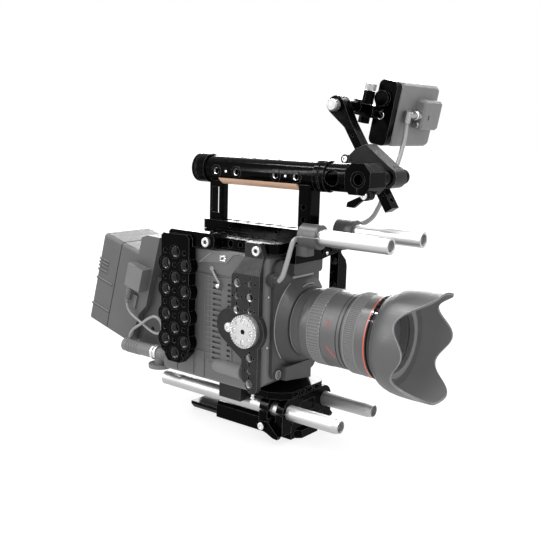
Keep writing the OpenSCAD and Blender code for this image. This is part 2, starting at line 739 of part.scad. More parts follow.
module right_side_plate() {
    c = rosette_c;
    z0 = cam_z0 + 2;
    color("#1a1b1d") difference() {
        union() {
            along_y(right_out, side_t) {
                polygon([[19, c[1] + 13], [53, c[1] + 13], [53, jog_z[0]], [19, jog_z[0]]]);
                translate([side_knob[0], c[1] + 2]) circle(17);
                translate([side_knob[0], c[1] - 15]) square([20, 34]);
                polygon([
                    [side_knob[0] - 10, c[1] - 12], [33.5, z0 + 32], [53, z0 + 32],
                    [53, c[1] + 13], [19, c[1] + 19]
                ]);
                translate(c) circle(20.5);
                polygon([[33.5, z0 + 33], [53, z0 + 33], [53, z0 + 6], [33.5, z0 + 14]]);
                translate([46.5, z0 + 6.5]) circle(6.5);
                polygon([[33.5, z0 + 14], [40.6, z0 + 3.8], [47, z0 + 6], [53, z0 + 6], [48, z0 + 16]]);
            }
            jog([31, 53]);
        }
        for (i = [0 : 2]) {
            z = jog_z[0] - 6.5 - i * hole_pitch;
            even = i % 2 == 0 ? three_eighths_r : quarter_r;
            odd = i % 2 == 1 ? three_eighths_r : quarter_r;
            accessory_holes(right_out - over, side_t + 2 * over, even, 26, z);
            accessory_holes(right_out - over, side_t + 2 * over, odd, 42, z + 1);
            accessory_holes(right_out - over, side_t + 2 * over, even, 43, z0 + 35 - i * hole_pitch);
        }
        y_cyl(right_out - over, side_t + 2 * over, 3, c[0], c[1]);
        y_cyl(top_right - lug_t - over, lug_t + 2, 2.5 + fit, front_lug_x, lug_z);
    }
}
module left_side_plate() {
    edge = top_left + 0.05;
    lug_out = edge + lug_t;
    color("#17181a") difference() {
        along_x(left_x[0], left_x[1] - left_x[0]) polygon([
            [left_in, cam_z0 + 6], [left_out, cam_z0 + 6], [left_out, top_z1 - 37],
            [left_out - 2.5, top_z1 - 30.5], [left_out - 9, top_z1 - 25], [lug_out, top_z1 - 22],
            [lug_out, top_z1], [edge, top_z1], [edge, cam_z1 + 1.5], [left_in, cam_z1 - 6]
        ]);
        for (i = [0 : 7]) y_cyl(left_in - over, left_out - left_in + 2 * over,
            i % 2 == 0 ? three_eighths_r : quarter_r, 47.8, top_z1 - 31.4 - i * hole_pitch);
        y_cyl(top_left - over, lug_t + 2, 2.5 + fit, front_lug_x, lug_z);
    }
}
module honeycomb_plate() {
    x0 = hole_cols[0] - 5.5;
    x1 = hole_cols[2] + 6.5;
    z_end = hole_top - (hole_rows - 1) * hole_pitch;
    color("#18191b") difference() {
        union() {
            along_y(hole_plate_out, hole_plate_t) {
                polygon([
                    [x0, top_z1 - 3], [x0, z_end + 3], [hole_cols[1] - 8, z_end - 9],
                    [hole_cols[1] + 8, z_end - 9], [x1, z_end + 3], [x1, top_z1 - 3], [x1 - 3, top_z1],
                    [x0 + 3, top_z1]
                ]);
                for (i = [1 : 2 : hole_rows - 1], c = [0, 2])
                    translate([hole_cols[c], hole_top - i * hole_pitch]) circle(9.5);
            }
            along_y(hole_plate_in - 5, top_right - hole_plate_in + 4.95)
                rounded(bridge_x, bridge_z, 6);
        }
        for (i = [0 : hole_rows - 1], c = [0 : 2]) {
            large = i % 2 == 0 ? c == 1 : c != 1;
            z = hole_top - i * hole_pitch;
            y_cyl(hole_plate_out - over, hole_plate_t + 2 * over, large ? big_hole_r : quarter_r,
                hole_cols[c], z);
            if (large) y_cyl(hole_plate_out - 0.01, 1.2, big_hole_r + 1.3, hole_cols[c], z, big_hole_r);
        }
        y_cyl(hole_plate_in - 6, 20, 2.5 + fit, rear_lug_x, rear_lug_z);
    }
}
module rosette() {
    y0 = right_out - rosette_t;
    color("#d4d6d8") difference() {
        union() {
            y_cyl(y0, rosette_t, rosette_r, rosette_c[0], rosette_c[1], $fn = 64);
            y_cyl(right_out - 3, 3, 4.6, side_knob[0], side_knob[1]);
        }
        y_cyl(y0 - over, rosette_t + 2 * over, 2.5, rosette_c[0], rosette_c[1]);
        for (i = [0 : 7]) y_cyl(y0 - over, 3 + over, i % 2 == 0 ? 2.6 : 1.8,
            rosette_c[0] + 10.5 * cos(45 * i), rosette_c[1] + 10.5 * sin(45 * i), $fn = 24);
        for (i = [0 : 35]) translate([rosette_c[0], y0, rosette_c[1]]) rotate([0, 10 * i, 0])
            translate([rosette_r - 2.6, -over, -0.45]) cube([4, over + 1.2, 0.9]);
    }
}
module lug_screw(y_face, side, x, z, thick = lug_t) {
    y_cyl(side < 0 ? y_face - screw_head_t : y_face, screw_head_t, screw_head_r, x, z);
    y_cyl(side < 0 ? y_face : y_face - thick - lug_grip, thick + lug_grip, 2.5, x, z);
}
module cage_screws() {
    color("#c9cbcd") {
        difference() {
            lug_screw(top_right - lug_t - 0.05, -1, front_lug_x, lug_z);
            y_cyl(top_right - lug_t - screw_head_t - 1, 3, 2.3, front_lug_x, lug_z, $fn = 6);
        }
        difference() {
            lug_screw(hole_plate_in - 5, -1, rear_lug_x, rear_lug_z, top_right - hole_plate_in + 5);
            y_cyl(hole_plate_in - 6 - screw_head_t, 3, 2.3, rear_lug_x, rear_lug_z, $fn = 6);
        }
        difference() {
            lug_screw(top_left + lug_t + 0.05, 1, front_lug_x, lug_z);
            y_cyl(top_left + lug_t + 1, 3, 2.3, front_lug_x, lug_z, $fn = 6);
        }
    }
}

// Handle
module handle_base() {
    color("#141517") difference() {
        along_z(top_z1, handle_base_t) rounded(base_x, [-base_half, base_half], 4);
        for (x = [-44 : 14 : 44]) z_cyl(base_z1 - 2.5, 2.5 + over, 6, x, 0, $fn = 6);
        for (x = [-37 : 14 : 37], s = [-1, 1])
            z_cyl(base_z1 - 2, 2 + over, 1.8, x, s * 8.4, $fn = 24);
        for (x = [-30, 0, 30], s = [-1, 1]) y_cyl(s > 0 ? base_half - 4 : -base_half - over, 4 + over,
            1.8, x, top_z1 + handle_base_t / 2, $fn = 24);
    }
}
module handle_post_front() {
    color("#141517") difference() {
        along_z(base_z1, grip_z - base_z1)
            rounded([post_x, post_x + post_len], [-post_half, post_half], 2.5);
        x_cyl(post_x - over, post_len + 2 * over, grip_r + fit, 0, grip_z);
        for (z = post_hole_z)
            y_cyl(-post_half - over, 2 * post_half + 2 * over, 2.6, post_x + post_len / 2, z);
    }
}
module handle_post_rear() {
    x = rear_post_x;
    y = [-rear_post_half - over, rear_post_half + over];
    color("#141517") difference() {
        along_z(base_z1, grip_z - base_z1) rounded(x, [-rear_post_half, rear_post_half], 2);
        x_cyl(x[0] - over, x[1] - x[0] + 2 * over, grip_r + fit, 0, grip_z);
        box(rear_slot_x, y, rear_slot_z);
        for (z = post_hole_z) y_cyl(y[0], y[1] - y[0], 1.3, (x[0] + rear_slot_x[0]) / 2, z, $fn = 24);
    }
}
module handle_grip() {
    len = neck_x - grip_x[0];
    color("#101113") difference() {
        union() {
            x_cyl(grip_x[0], len, grip_r, 0, grip_z, $fn = 64);
            x_cyl(grip_x[1], 5, flange_r, 0, grip_z, $fn = 64);
            x_cyl(grip_x[1] + 7, 5, flange_r, 0, grip_z, $fn = 64);
            intersection() {
                x_cyl(grip_x[0], len, grip_r + 0.7, 0, grip_z, $fn = 64);
                for (x = grip_holes) y_cyl(-30, 60, 6.6, x, grip_hole_z, $fn = 6);
            }
        }
        for (x = grip_holes) {
            y_cyl(-grip_r - 2, 5, 3.4, x, grip_hole_z);
            y_cyl(grip_r - 3, 5, 3.4, x, grip_hole_z);
        }
        for (x = grip_pins, s = [-1, 1]) y_cyl(s > 0 ? grip_r - 5 : -grip_r - over, 5 + over,
            1.6, x, grip_hole_z, $fn = 24);
        for (x = [-24 : 16 : 24]) z_cyl(grip_z + grip_r - 3, 5, 3, x, 0);
    }
}
module handle_insert() {
    color("#c98a66") difference() {
        along_x(rear_post_x[1] + gap, post_x - rear_post_x[1] - 2 * gap) difference() {
            translate([0, grip_z]) circle(grip_r + 2.2, $fn = 64);
            translate([0, grip_z]) circle(grip_r + fit, $fn = 64);
            translate([-30, grip_z - 8.5]) square([60, 40]);
        }
        for (x = [-40 : 10 : 40]) y_cyl(-20, 40, 0.7, x, grip_z - grip_r - 2.4, $fn = 16);
    }
}
module handle_rear_cap() {
    color("#121315") difference() {
        union() {
            x_cyl(cap_x, grip_x[0] - cap_x, flange_r, 0, grip_z, $fn = 64);
            x_cyl(cap_x - 2, 2, flange_r - 2, 0, grip_z, flange_r, $fn = 64);
        }
        x_cyl(cap_x - 3, 8, 6, 0, grip_z);
        x_cyl(cap_x + 4, 2, flange_r + 1, 0, grip_z);
    }
    color("#121315") x_cyl(cap_x + 3, 4, flange_r - 1, 0, grip_z, $fn = 64);
}
module handle_clamp_head() {
    z0 = grip_z - 14;
    z1 = grip_z + 15;
    color("#121315") {
        difference() {
            union() {
                x_cyl(neck_x, head_x[0] - neck_x + 4, grip_r + 0.5, 0, grip_z, $fn = 64);
                along_y(-head_half, 2 * head_half) polygon([
                    [head_x[0], z0 + 6], [head_x[0] + 5, z0], [head_x[1] - 6, z0], [head_x[1], z0 + 7],
                    [head_x[1], z1 - 8], [head_x[1] - 7, z1], [head_x[0] + 7, z1], [head_x[0], z1 - 7]
                ]);
                along_y(-9, 3.7) {
                    translate(lock_pivot) circle(5);
                    translate([lock_pivot[0] - 5, lock_pivot[1]]) square([10, z0 - lock_pivot[1] + 1]);
                }
            }
            y_cyl(-head_half - over, 2 * head_half + 2 * over, rod_r + slide_fit, cross_x, grip_z);
            y_cyl(-head_half - over, 2 * head_half + 2 * over, rod_r + slide_fit, socket_bore_x, grip_z);
            box([cross_x - 0.7, cross_x + 0.7], [-20, 20], [z0 - 20, grip_z]);
            y_cyl(-5.3, 10.6, lock_r + 0.8, lock_pivot[0], lock_pivot[1]);
        }
        y_cyl(-9.5, 11.3, 2.5, lock_pivot[0], lock_pivot[1]);
        y_cyl(0.3, 1.5, 3.6, lock_pivot[0], lock_pivot[1]);
        y_cyl(-12, 3, 4, lock_pivot[0], lock_pivot[1]);
    }
}
module rod_lock_lever() {
    p = lock_pivot;
    color("#121315") difference() {
        union() {
            y_cyl(-5, 5, lock_r, p[0], p[1]);
            along_y(-4.5, 4) polygon([
                p + [-2, 3.8], p + [-5, -0.3], p + [-9, -1.8], p + [-22, -8], p + [-23, -12.5],
                p + [-15, -12.8], p + [-6, -5.5], p + [2, -4.3]
            ]);
        }
        y_cyl(-6, 12, 2.5 + fit, p[0], p[1]);
    }
}

// Cross rod, arm and monitor
module cross_rod() {
    color("#202124") difference() {
        y_cyl(cross_y[0], cross_y[1] - cross_y[0], rod_r, cross_x, grip_z);
        y_cyl(cross_y[0] - over, 12 + over, 5, cross_x, grip_z);
        y_cyl(cross_y[1] - 12, 12 + over, 5, cross_x, grip_z);
    }
}
module arm_clamp_block() {
    c = [cross_x, grip_z];
    color("#151618") difference() {
        union() {
            along_y(block_y[0], block_y[1] - block_y[0]) polygon([
                c + [-25, 31], c + [-36.5, 26], c + [-43, 20], c + [-41, 12.5], c + [-29, 10.5],
                c + [-24, 14.5], c + [-18, 12], c + [-10, 4], c, c + [6, 8]
            ]);
            y_cyl(block_y[0], collar_y1 - block_y[0], collar_r, c[0], c[1]);
            y_cyl(block_y[0] - 2, 14, 4.8, c[0] - 46.5, c[1] + 15.5);
        }
        y_cyl(block_y[0] - over, collar_y1 - block_y[0] + 2 * over, rod_r + slide_fit, c[0], c[1]);
        arm_frame() box([arm_x[0] - 0.15, arm_x[1] + 0.15], [arm_y[0] - 0.15, arm_y[1] + 0.15],
            [-arm_len, -10]);
        y_cyl(block_y[0] - 3, 3, 2.2, c[0] - 46.5, c[1] + 15.5, $fn = 6);
    }
}
module monitor_arm() {
    color("#141517") arm_frame() difference() {
        union() {
            box(arm_x, arm_y, [-arm_len, 0]);
            along_y(arm_y[0], arm_y[1] - arm_y[0]) hull() {
                circle(head_r);
                translate([arm_x[0], -head_taper]) square([arm_w, 1]);
            }
        }
        y_cyl(arm_y[0] - over, 20, shank_r + fit, 0, 0);
        for (z = [-88, -100, -110]) x_cyl(-10, 20, quarter_r, (arm_y[0] + arm_y[1]) / 2, z);
        for (z = [-36, -94, -105]) y_cyl(arm_y[0] - over, 20, 1.6, (arm_x[0] + arm_x[1]) / 2, z, $fn = 24);
    }
}
module tilt_knob() {
    color("#d2d4d6") difference() {
        union() {
            y_cyl(knob_y, swivel_y[1] - 1 - knob_y, shank_r, pivot_x, pivot_z);
            y_cyl(knob_y, arm_y[0] - gap - knob_y, knob_r, pivot_x, pivot_z);
            y_cyl(knob_y - 1, 1, knob_r - 1.2, pivot_x, pivot_z, knob_r);
        }
        for (i = [0 : 11]) translate([pivot_x, 0, pivot_z]) rotate([0, 30 * i, 0])
            y_cyl(knob_y - 2, 7, 0.8, knob_r + 0.4, 0, $fn = 16);
    }
}
module swivel_block() {
    color("#141517") monitor_frame() difference() {
        union() {
            along_y(swivel_y[0], swivel_y[1] - swivel_y[0]) {
                circle(7.5);
                translate([0, -8]) square([20, 12.5]);
            }
            y_cyl(sleeve_y, swivel_y[0] - sleeve_y + over, sleeve_r, 0, 0);
            z_cyl(swivel_z[0], swivel_z[1] - swivel_z[0], 6, swivel_x, knob_axis_y);
        }
        y_cyl(sleeve_y - over, swivel_y[1] - sleeve_y + 2 * over, shank_r + fit, 0, 0);
        z_cyl(swivel_z[1] - 8, 10, 2.5 + fit, swivel_x, knob_axis_y);
    }
}
module swivel_knob() {
    z0 = swivel_z[1] + gap;
    color("#d2d4d6") monitor_frame() difference() {
        union() {
            z_cyl(swivel_z[1] - 7, 8, 2.5, swivel_x, knob_axis_y);
            z_cyl(z0, 6.5, 6.2, swivel_x, knob_axis_y);
            z_cyl(z0 + 6.5, 1.2, 6.2, swivel_x, knob_axis_y, 5);
        }
        for (i = [0 : 11]) z_cyl(z0 + 1.2, 10, 0.8,
            swivel_x + 6.6 * cos(30 * i), knob_axis_y + 6.6 * sin(30 * i), $fn = 16);
    }
}
module monitor_bracket() {
    color("#141517") monitor_frame() {
        difference() {
            along_y(bracket_y, side_bracket_t) rounded([monitor_x0, monitor_x1], [monitor_z0, monitor_z1], 6);
            y_cyl(bracket_y - over, 3, 3.2, monitor_x0 + 10.5, -1.5);
        }
        y_cyl(bracket_y - 5, 5, 8, monitor_x0 + 8, 13);
    }
}
module monitor_housing() {
    color("#7d8083") monitor_frame() difference() {
        union() {
            soft_x([monitor_x0, monitor_x1], [monitor_y0, monitor_y1], [monitor_z0, monitor_z1], 7, 2.5);
            soft_x([monitor_x1 - 5, monitor_x1 + box_t], box_y, box_z, 4, 2);
        }
        box([monitor_x0 - over, monitor_x0 + screen_t], [monitor_y0 + 7, monitor_y1 - 7],
            [monitor_z0 + 7, monitor_z1 - 7]);
    }
}
module monitor_screen() {
    color("#1c2126") monitor_frame() box([monitor_x0 + 0.3, monitor_x0 + screen_t],
        [monitor_y0 + 7.2, monitor_y1 - 7.2], [monitor_z0 + 7.2, monitor_z1 - 7.2]);
}
module monitor_plug() {
    color("#a9acae") monitor_frame() {
        y_cyl(elbow_y, box_y[0] - elbow_y, plug_r, plug_x, plug_z);
        y_cyl(box_y[0] - 5, 5, 5.2, plug_x, plug_z);
        z_cyl(plug_z - elbow_drop, elbow_drop + 4, plug_r + 0.4, plug_x, elbow_y);
    }
}
monitor_down = tilted([0, 0], monitor_tilt, [0, 0, -1]);
module monitor_cable(i0, i1) {
    first = i0 == 0 ? monitor_down : heading(monitor_route, i0);
    last = i1 == len(monitor_route) - 1 ? [-1, 0, 0] : heading(monitor_route, i1);
    color("#b3b6b8") cord(monitor_route, i0, i1, 1, cable_r, first, last, 10);
}
module monitor_cable_1() { monitor_cable(0, join_1); }
module monitor_cable_2() { monitor_cable(join_1, join_2); }
module monitor_cable_3() { monitor_cable(join_2, join_3); }
module monitor_cable_4() { monitor_cable(join_3, len(monitor_route) - 1); }

// Upper rods
module upper_rod_bracket() {
    z = upper_bar_z;
    color("#17181a") difference() {
        along_x(upper_bar_x, upper_bar_t) polygon([
            [-36, z[0]], [7, z[0]], [36, z[0] + 4.5], [36, z[1]], [-36, z[1]]
        ]);
        for (y = [-24, -8, 8, 24]) x_cyl(upper_bar_x - over, upper_bar_t + 2 * over, quarter_r, y, z[0] + 8);
    }
}
module upper_rod_clamp() {
    x0 = upper_bar_x + upper_bar_t;
    x1 = upper_x + upper_clamp_len;
    color("#8b8e91") difference() {
        for (s = [-1, 1]) {
            x_cyl(upper_x, upper_clamp_len, upper_clamp_r, s * rod_y, upper_z);
            box([x0, upper_x + 8], [s * rod_y - 6, s * rod_y + 6], [upper_bar_z[1] - 9, upper_bar_z[1] + 1]);
        }
        for (s = [-1, 1]) {
            x_cyl(upper_x - over, upper_clamp_len + 2 * over, rod_r + slide_fit, s * rod_y, upper_z);
            box([upper_x - over, x1 + over], s > 0 ? [rod_y, rod_y + 20] : [-rod_y - 20, -rod_y],
                [upper_z - 0.7, upper_z + 0.7]);
        }
    }
}
module upper_rod(side) {
    color("#e6e8ea") difference() {
        x_cyl(upper_x, upper_rod_len, rod_r, side * rod_y, upper_z);
        x_cyl(upper_x - over, upper_rod_len + 2 * over, rod_r - rod_wall, side * rod_y, upper_z);
    }
}
module upper_rod_right() { upper_rod(-1); }
module upper_rod_left() { upper_rod(1); }

// Battery
module battery_bracket() {
    z = [cam_z0 + 12, cam_z0 + 78];
    color("#6f7275") difference() {
        union() {
            box([cam_x0 - 5, cam_x0], [-cheek_y[1], cheek_y[1]], z);
            for (s = [-1, 1]) along_y(s > 0 ? cheek_y[0] : -cheek_y[1], cheek_y[1] - cheek_y[0]) polygon([
                [cam_x0, z[0]], [cam_x0, z[1]], [bat_x + 20, bat_z - 22], [bat_x + 5, bat_z - 57],
                [bat_x - 2, bat_z - 70], [bat_x - 12, bat_z - 98], [bat_x + 10, bat_z - 102]
            ]);
        }
        for (p = [[38.5, -82], [26.5, -92], [14.5, -82], [26.5, -70], [38.5, -58]])
            y_cyl(-40, 80, 2.6, bat_x + p[0], bat_z + p[1]);
        battery_frame() {
            along_y(-60, 120) polygon(bat_profile);
            box([-60, gap + 0.1], [-60, 60], [-130, 30]);
        }
    }
}
module tongue(grow, up) {
    polygon([
        [-tongue_w[0] / 2 - grow, tongue_z[0] - grow], [tongue_w[0] / 2 + grow, tongue_z[0] - grow],
        [tongue_w[1] / 2 + grow, tongue_z[1] + up], [-tongue_w[1] / 2 - grow, tongue_z[1] + up]
    ]);
}
module battery_plate() {
    color("#6a6d70") battery_frame() difference() {
        along_y(-bat_plate_half, 2 * bat_plate_half) polygon(bat_profile);
        along_x(gap - over, tongue_t + over) tongue(gap, 0);
        box([gap - over, gap + tongue_t], [-tongue_w[1] / 2 - gap, tongue_w[1] / 2 + gap],
            [tongue_z[1] - 0.01, 40]);
        box([4, 12], [-bat_plate_half - over, 6 - bat_plate_half], [-60, -44]);
    }
}
module battery_case() {
    z = [bat_top - battery_h, bat_top];
    color("#75787b") battery_frame() difference() {
        union() {
            soft_x([-battery_d, 0], [-bat_half, bat_half], z, 4, 2);
            along_x(-over, over + tongue_t - gap) tongue(0, 0);
        }
        difference() {
            box([seam_x, seam_x + 1.2], [-bat_half - over, bat_half + over], [z[0] - over, z[1] + over]);
            box([seam_x - 5, seam_x + 5], [1 - bat_half, bat_half - 1], [z[0] + 1, z[1] - 1]);
        }
        for (i = [1 : 4]) box([-battery_d - over, 0.9 - battery_d],
            [-bat_half + 8, bat_half - 8], [z[1] - 21 * i - 0.8, z[1] - 21 * i + 0.8]);
    }
}
module battery_release() {
    color("#8f9295") battery_frame()
        box([4 + fit, 12 - fit], [-bat_plate_half - 2, 3 - bat_plate_half], [-60 + fit, -44 - fit]);
}
module dtap_plug() {
    color("#4e5154") battery_frame() {
        box(dtap_x, [dtap_y - dtap_out, dtap_y], dtap_z);
        z_cyl(relief_z, dtap_z[0] - relief_z, 2.2, relief_x, dtap_y - dtap_out / 2, 3.6);
    }
}
module power_cable() {
    last = len(power_route) - 1;
    color("#8d9093") cord(power_route, 0, last, 2, power_cable_r,
        tilted([0, 0], battery_tilt, [0, 0, -1]), [0, 0, -1]);
}
module power_plug() {
    color("#8f9295") {
        x_cyl(power_x[0], 50, boot_r, plug_y, plug_axis_z);
        x_cyl(power_x[0] + 50, power_x[1] - power_x[0] - 50, boot_r - 0.5, plug_y, plug_axis_z);
        z_cyl(plug_axis_z, boot_top - plug_axis_z, 3, boot_x, plug_y);
        z_cyl(foot_z + 3, plug_axis_z - foot_z - 3, 6, foot_x, plug_y);
        z_cyl(foot_z, 4, 12.5, foot_x, plug_y);
    }
}

dovetail_plate();
receiver();
rod_bracket();
base_lever();
base_lever_left();
camera_plate();
rear_rod_block();
lower_rod_right();
lower_rod_left();
camera_body();
camera_front();
vent_grille();
record_button();
lens_barrel();
zoom_ring();
lens_band();
focus_ring();
lens_front_rim();
lens_accent_ring();
front_element();
lens_hood();
top_plate();
right_side_plate();
left_side_plate();
honeycomb_plate();
rosette();
cage_screws();
handle_base();
handle_post_front();
handle_post_rear();
handle_grip();
handle_insert();
handle_rear_cap();
handle_clamp_head();
rod_lock_lever();
cross_rod();
arm_clamp_block();
monitor_arm();
tilt_knob();
swivel_block();
swivel_knob();
monitor_bracket();
monitor_housing();
monitor_screen();
monitor_plug();
monitor_cable_1();
monitor_cable_2();
monitor_cable_3();
monitor_cable_4();
upper_rod_bracket();
upper_rod_clamp();
upper_rod_right();
upper_rod_left();
battery_bracket();
battery_plate();
battery_case();
battery_release();
dtap_plug();
power_cable();
power_plug();
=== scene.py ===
# Cinema camera rig: looks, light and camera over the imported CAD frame.
# Blender's objects are in metres. Sizes and places here are in millimetres, apart from the floor and lights.
import json
import math

import bmesh
import bpy
from mathutils import Matrix, Vector


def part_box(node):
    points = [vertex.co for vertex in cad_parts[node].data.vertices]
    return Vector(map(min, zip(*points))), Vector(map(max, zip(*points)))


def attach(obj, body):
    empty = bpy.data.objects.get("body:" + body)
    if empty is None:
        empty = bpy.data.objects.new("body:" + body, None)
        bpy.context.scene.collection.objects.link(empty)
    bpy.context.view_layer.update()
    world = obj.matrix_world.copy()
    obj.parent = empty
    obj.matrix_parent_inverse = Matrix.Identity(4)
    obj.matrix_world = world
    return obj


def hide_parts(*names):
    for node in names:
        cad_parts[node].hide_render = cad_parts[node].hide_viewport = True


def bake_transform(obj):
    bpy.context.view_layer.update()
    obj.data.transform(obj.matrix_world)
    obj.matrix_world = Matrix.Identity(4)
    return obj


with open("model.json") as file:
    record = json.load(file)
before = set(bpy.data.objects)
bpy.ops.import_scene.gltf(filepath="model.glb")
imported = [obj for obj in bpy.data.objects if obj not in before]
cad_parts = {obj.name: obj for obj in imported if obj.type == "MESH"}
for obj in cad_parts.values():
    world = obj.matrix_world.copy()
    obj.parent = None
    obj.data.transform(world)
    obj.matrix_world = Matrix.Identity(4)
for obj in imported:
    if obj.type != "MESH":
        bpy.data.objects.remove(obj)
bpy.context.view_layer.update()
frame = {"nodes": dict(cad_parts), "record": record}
nodes = frame["nodes"]
MM = 0.001
TO_SIDE, TO_LEFT, TO_FRONT, TO_BACK, UP = (0, -1, 0), (0, 1, 0), (1, 0, 0), (-1, 0, 0), (0, 0, 1)


def node_box(name):
    """A node's lowest and highest corners, in millimetres."""
    return [Vector(corner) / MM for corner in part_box(name)]


# Camera at the photograph's place and angle
CAMERA_AT = (516.4, -652.33, 308.78)
AZIMUTH, PITCH, ROLL = math.radians(37.59), math.radians(10.16), math.radians(1.64)
FOCAL_LENGTH, SENSOR_WIDTH = 54.81, 36
NEAREST_SEEN = 10


def add_camera():
    right = Vector((math.cos(AZIMUTH), math.sin(AZIMUTH), 0))
    level_back = Vector((math.sin(AZIMUTH), -math.cos(AZIMUTH), 0))
    back = level_back * math.cos(PITCH) + Vector(UP) * math.sin(PITCH)
    up = back.cross(right)
    turned_right = right * math.cos(ROLL) + up * math.sin(ROLL)
    turned_up = up * math.cos(ROLL) - right * math.sin(ROLL)
    data = bpy.data.cameras.new("camera")
    data.lens = FOCAL_LENGTH
    data.sensor_width = SENSOR_WIDTH
    data.clip_start = NEAREST_SEEN * MM
    camera = bpy.data.objects.new("camera", data)
    bpy.context.scene.collection.objects.link(camera)
    spin = Matrix((turned_right, turned_up, back)).transposed().to_4x4()
    camera.matrix_world = Matrix.Translation(Vector(CAMERA_AT) * MM) @ spin
    bpy.context.scene.camera = camera


add_camera()

# Materials: the span of noise in use, the normal's turn at an edge that gets a painted highlight, and the mix
# node's sockets
NOISE_LOW, NOISE_HIGH = 0.3, 0.7
PATCH_DETAIL, GRAIN_DETAIL = 4, 3
EDGE_TURNED, EDGE_FLAT = 0.78, 0.97
SMOOTHEST = 0.02
MIX_SHARE, MIX_FIRST, MIX_SECOND, MIX_COLOUR = 0, 6, 7, 2


class Shader:
    """A principled material with its texture nodes."""

    def __init__(self, name, colour, rough, metal=0.0, shine=0.5):
        self.name = name
        self.mat = bpy.data.materials.new(name)
        self.mat.use_nodes = True
        self.tree = self.mat.node_tree
        self.bsdf = self.tree.nodes["Principled BSDF"]
        self.set("Base Color", (*colour, 1))
        self.set("Roughness", rough)
        self.set("Metallic", metal)
        self.set("Specular IOR Level", shine)
        self.colour, self.rough = colour, rough
        self.place = self.node("ShaderNodeTexCoord").outputs["Object"]
        self.normal = None

    def set(self, socket, value):
        self.bsdf.inputs[socket].default_value = value
        return self

    def node(self, kind, **inputs):
        made = self.tree.nodes.new(kind)
        for key, value in inputs.items():
            socket = made.inputs[key.replace("_", " ")]
            if isinstance(value, bpy.types.NodeSocket):
                self.tree.links.new(value, socket)
            else:
                socket.default_value = value
        return made

    def link(self, source, socket):
        self.tree.links.new(source, self.bsdf.inputs[socket])
        return self

    def stretched(self, scale):
        return self.node("ShaderNodeMapping", Vector=self.place, Scale=scale).outputs["Vector"]

    def noise(self, scale, detail, stretch=None):
        place = self.stretched(stretch) if stretch else self.place
        return self.node("ShaderNodeTexNoise", Vector=place, Scale=scale, Detail=detail).outputs["Fac"]

    def mapped(self, value, low, high, start=NOISE_LOW, end=NOISE_HIGH):
        made = self.node("ShaderNodeMapRange", Value=value, From_Min=start, From_Max=end,
                         To_Min=low, To_Max=high)
        return made.outputs["Result"]

    def mix(self, share, first, second):
        made = self.tree.nodes.new("ShaderNodeMix")
        made.data_type = "RGBA"
        self.tree.links.new(share, made.inputs[MIX_SHARE])
        for index, colour in ((MIX_FIRST, first), (MIX_SECOND, second)):
            if isinstance(colour, bpy.types.NodeSocket):
                self.tree.links.new(colour, made.inputs[index])
            else:
                made.inputs[index].default_value = (*colour, 1)
        return made.outputs[MIX_COLOUR]

    def mottle(self, scale, amount, stretch=None):
        """Uneven colour over the surface."""
        dark = tuple(c * (1 - amount) for c in self.colour)
        light = tuple(min(1, c * (1 + amount)) for c in self.colour)
        share = self.mapped(self.noise(scale, PATCH_DETAIL, stretch), 0, 1)
        return self.link(self.mix(share, dark, light), "Base Color")

    def uneven(self, scale, spread, stretch=None):
        """Uneven gloss over the surface."""
        low, high = max(SMOOTHEST, self.rough - spread), min(1, self.rough + spread)
        return self.link(self.mapped(self.noise(scale, PATCH_DETAIL, stretch), low, high), "Roughness")

    def rounded(self, radius):
        """Edges that catch the light, as a broken edge does."""
        self.normal = self.node("ShaderNodeBevel", Radius=radius * MM).outputs["Normal"]
        return self.link(self.normal, "Normal")

    def painted_edge_highlight(self, radius, shade):
        """A painted highlight: paler colour along the chamfered edges, where the bevelled normal turns from
        the true one.
        """
        turned_normal = self.node("ShaderNodeBevel", Radius=radius * MM).outputs["Normal"]
        plain_normal = self.node("ShaderNodeNewGeometry").outputs["True Normal"]
        product = self.tree.nodes.new("ShaderNodeVectorMath")
        product.operation = "DOT_PRODUCT"
        self.tree.links.new(turned_normal, product.inputs[0])
        self.tree.links.new(plain_normal, product.inputs[1])
        # How much painted highlight each point gets: all of it on an edge, none where the surface is flat
        share = self.mapped(product.outputs["Value"], 1, 0, EDGE_TURNED, EDGE_FLAT)
        base = self.bsdf.inputs["Base Color"].links[0].from_socket
        return self.link(self.mix(share, base, (shade, shade, shade)), "Base Color")

    def grain(self, scale, depth, strength, stretch=None):
        """A fine relief, such as blasting, moulded grain or brushing."""
        relief = self.noise(scale, GRAIN_DETAIL, stretch)
        made = self.node("ShaderNodeBump", Strength=strength, Distance=depth * MM, Height=relief)
        if self.normal:
            self.tree.links.new(self.normal, made.inputs["Normal"])
        self.normal = made.outputs["Normal"]
        return self.link(self.normal, "Normal")


# How much green and blue a grey has for each part of red
BLACK_BLUE, GREY_GREEN, GREY_BLUE = 1.04, 1.004, 1.012
# How a brushed or grown surface is drawn out along X, Y and Z
LENGTHWAYS, CROSSWAYS, ALL_WAYS, WOOD_FIBRE = (0.06, 1, 1), (1, 0.2, 1), (1, 1, 1), (0.05, 1, 1)


def anodised(name, level, rough, shine, edge):
    """Black metal with pale edges, which are a painted highlight."""
    made = Shader(name, (level, level, level * BLACK_BLUE), rough, shine=shine)
    # edge: the colour of the painted highlight along the edges
    made.mottle(scale=60, amount=0.25).painted_edge_highlight(radius=0.45, shade=edge).uneven(scale=220, spread=0.05)
    return made.rounded(radius=0.5).grain(scale=3200, depth=0.02, strength=0.2)


def moulded(name, level, rough, grain=0.04):
    """Grey plastic or rubber with a fine moulded grain."""
    made = Shader(name, (level, level * GREY_GREEN, level * GREY_BLUE), rough, shine=0.35)
    made.mottle(scale=40, amount=0.06).uneven(scale=160, spread=0.06)
    return made.rounded(radius=0.5).grain(scale=2200, depth=grain, strength=0.3)


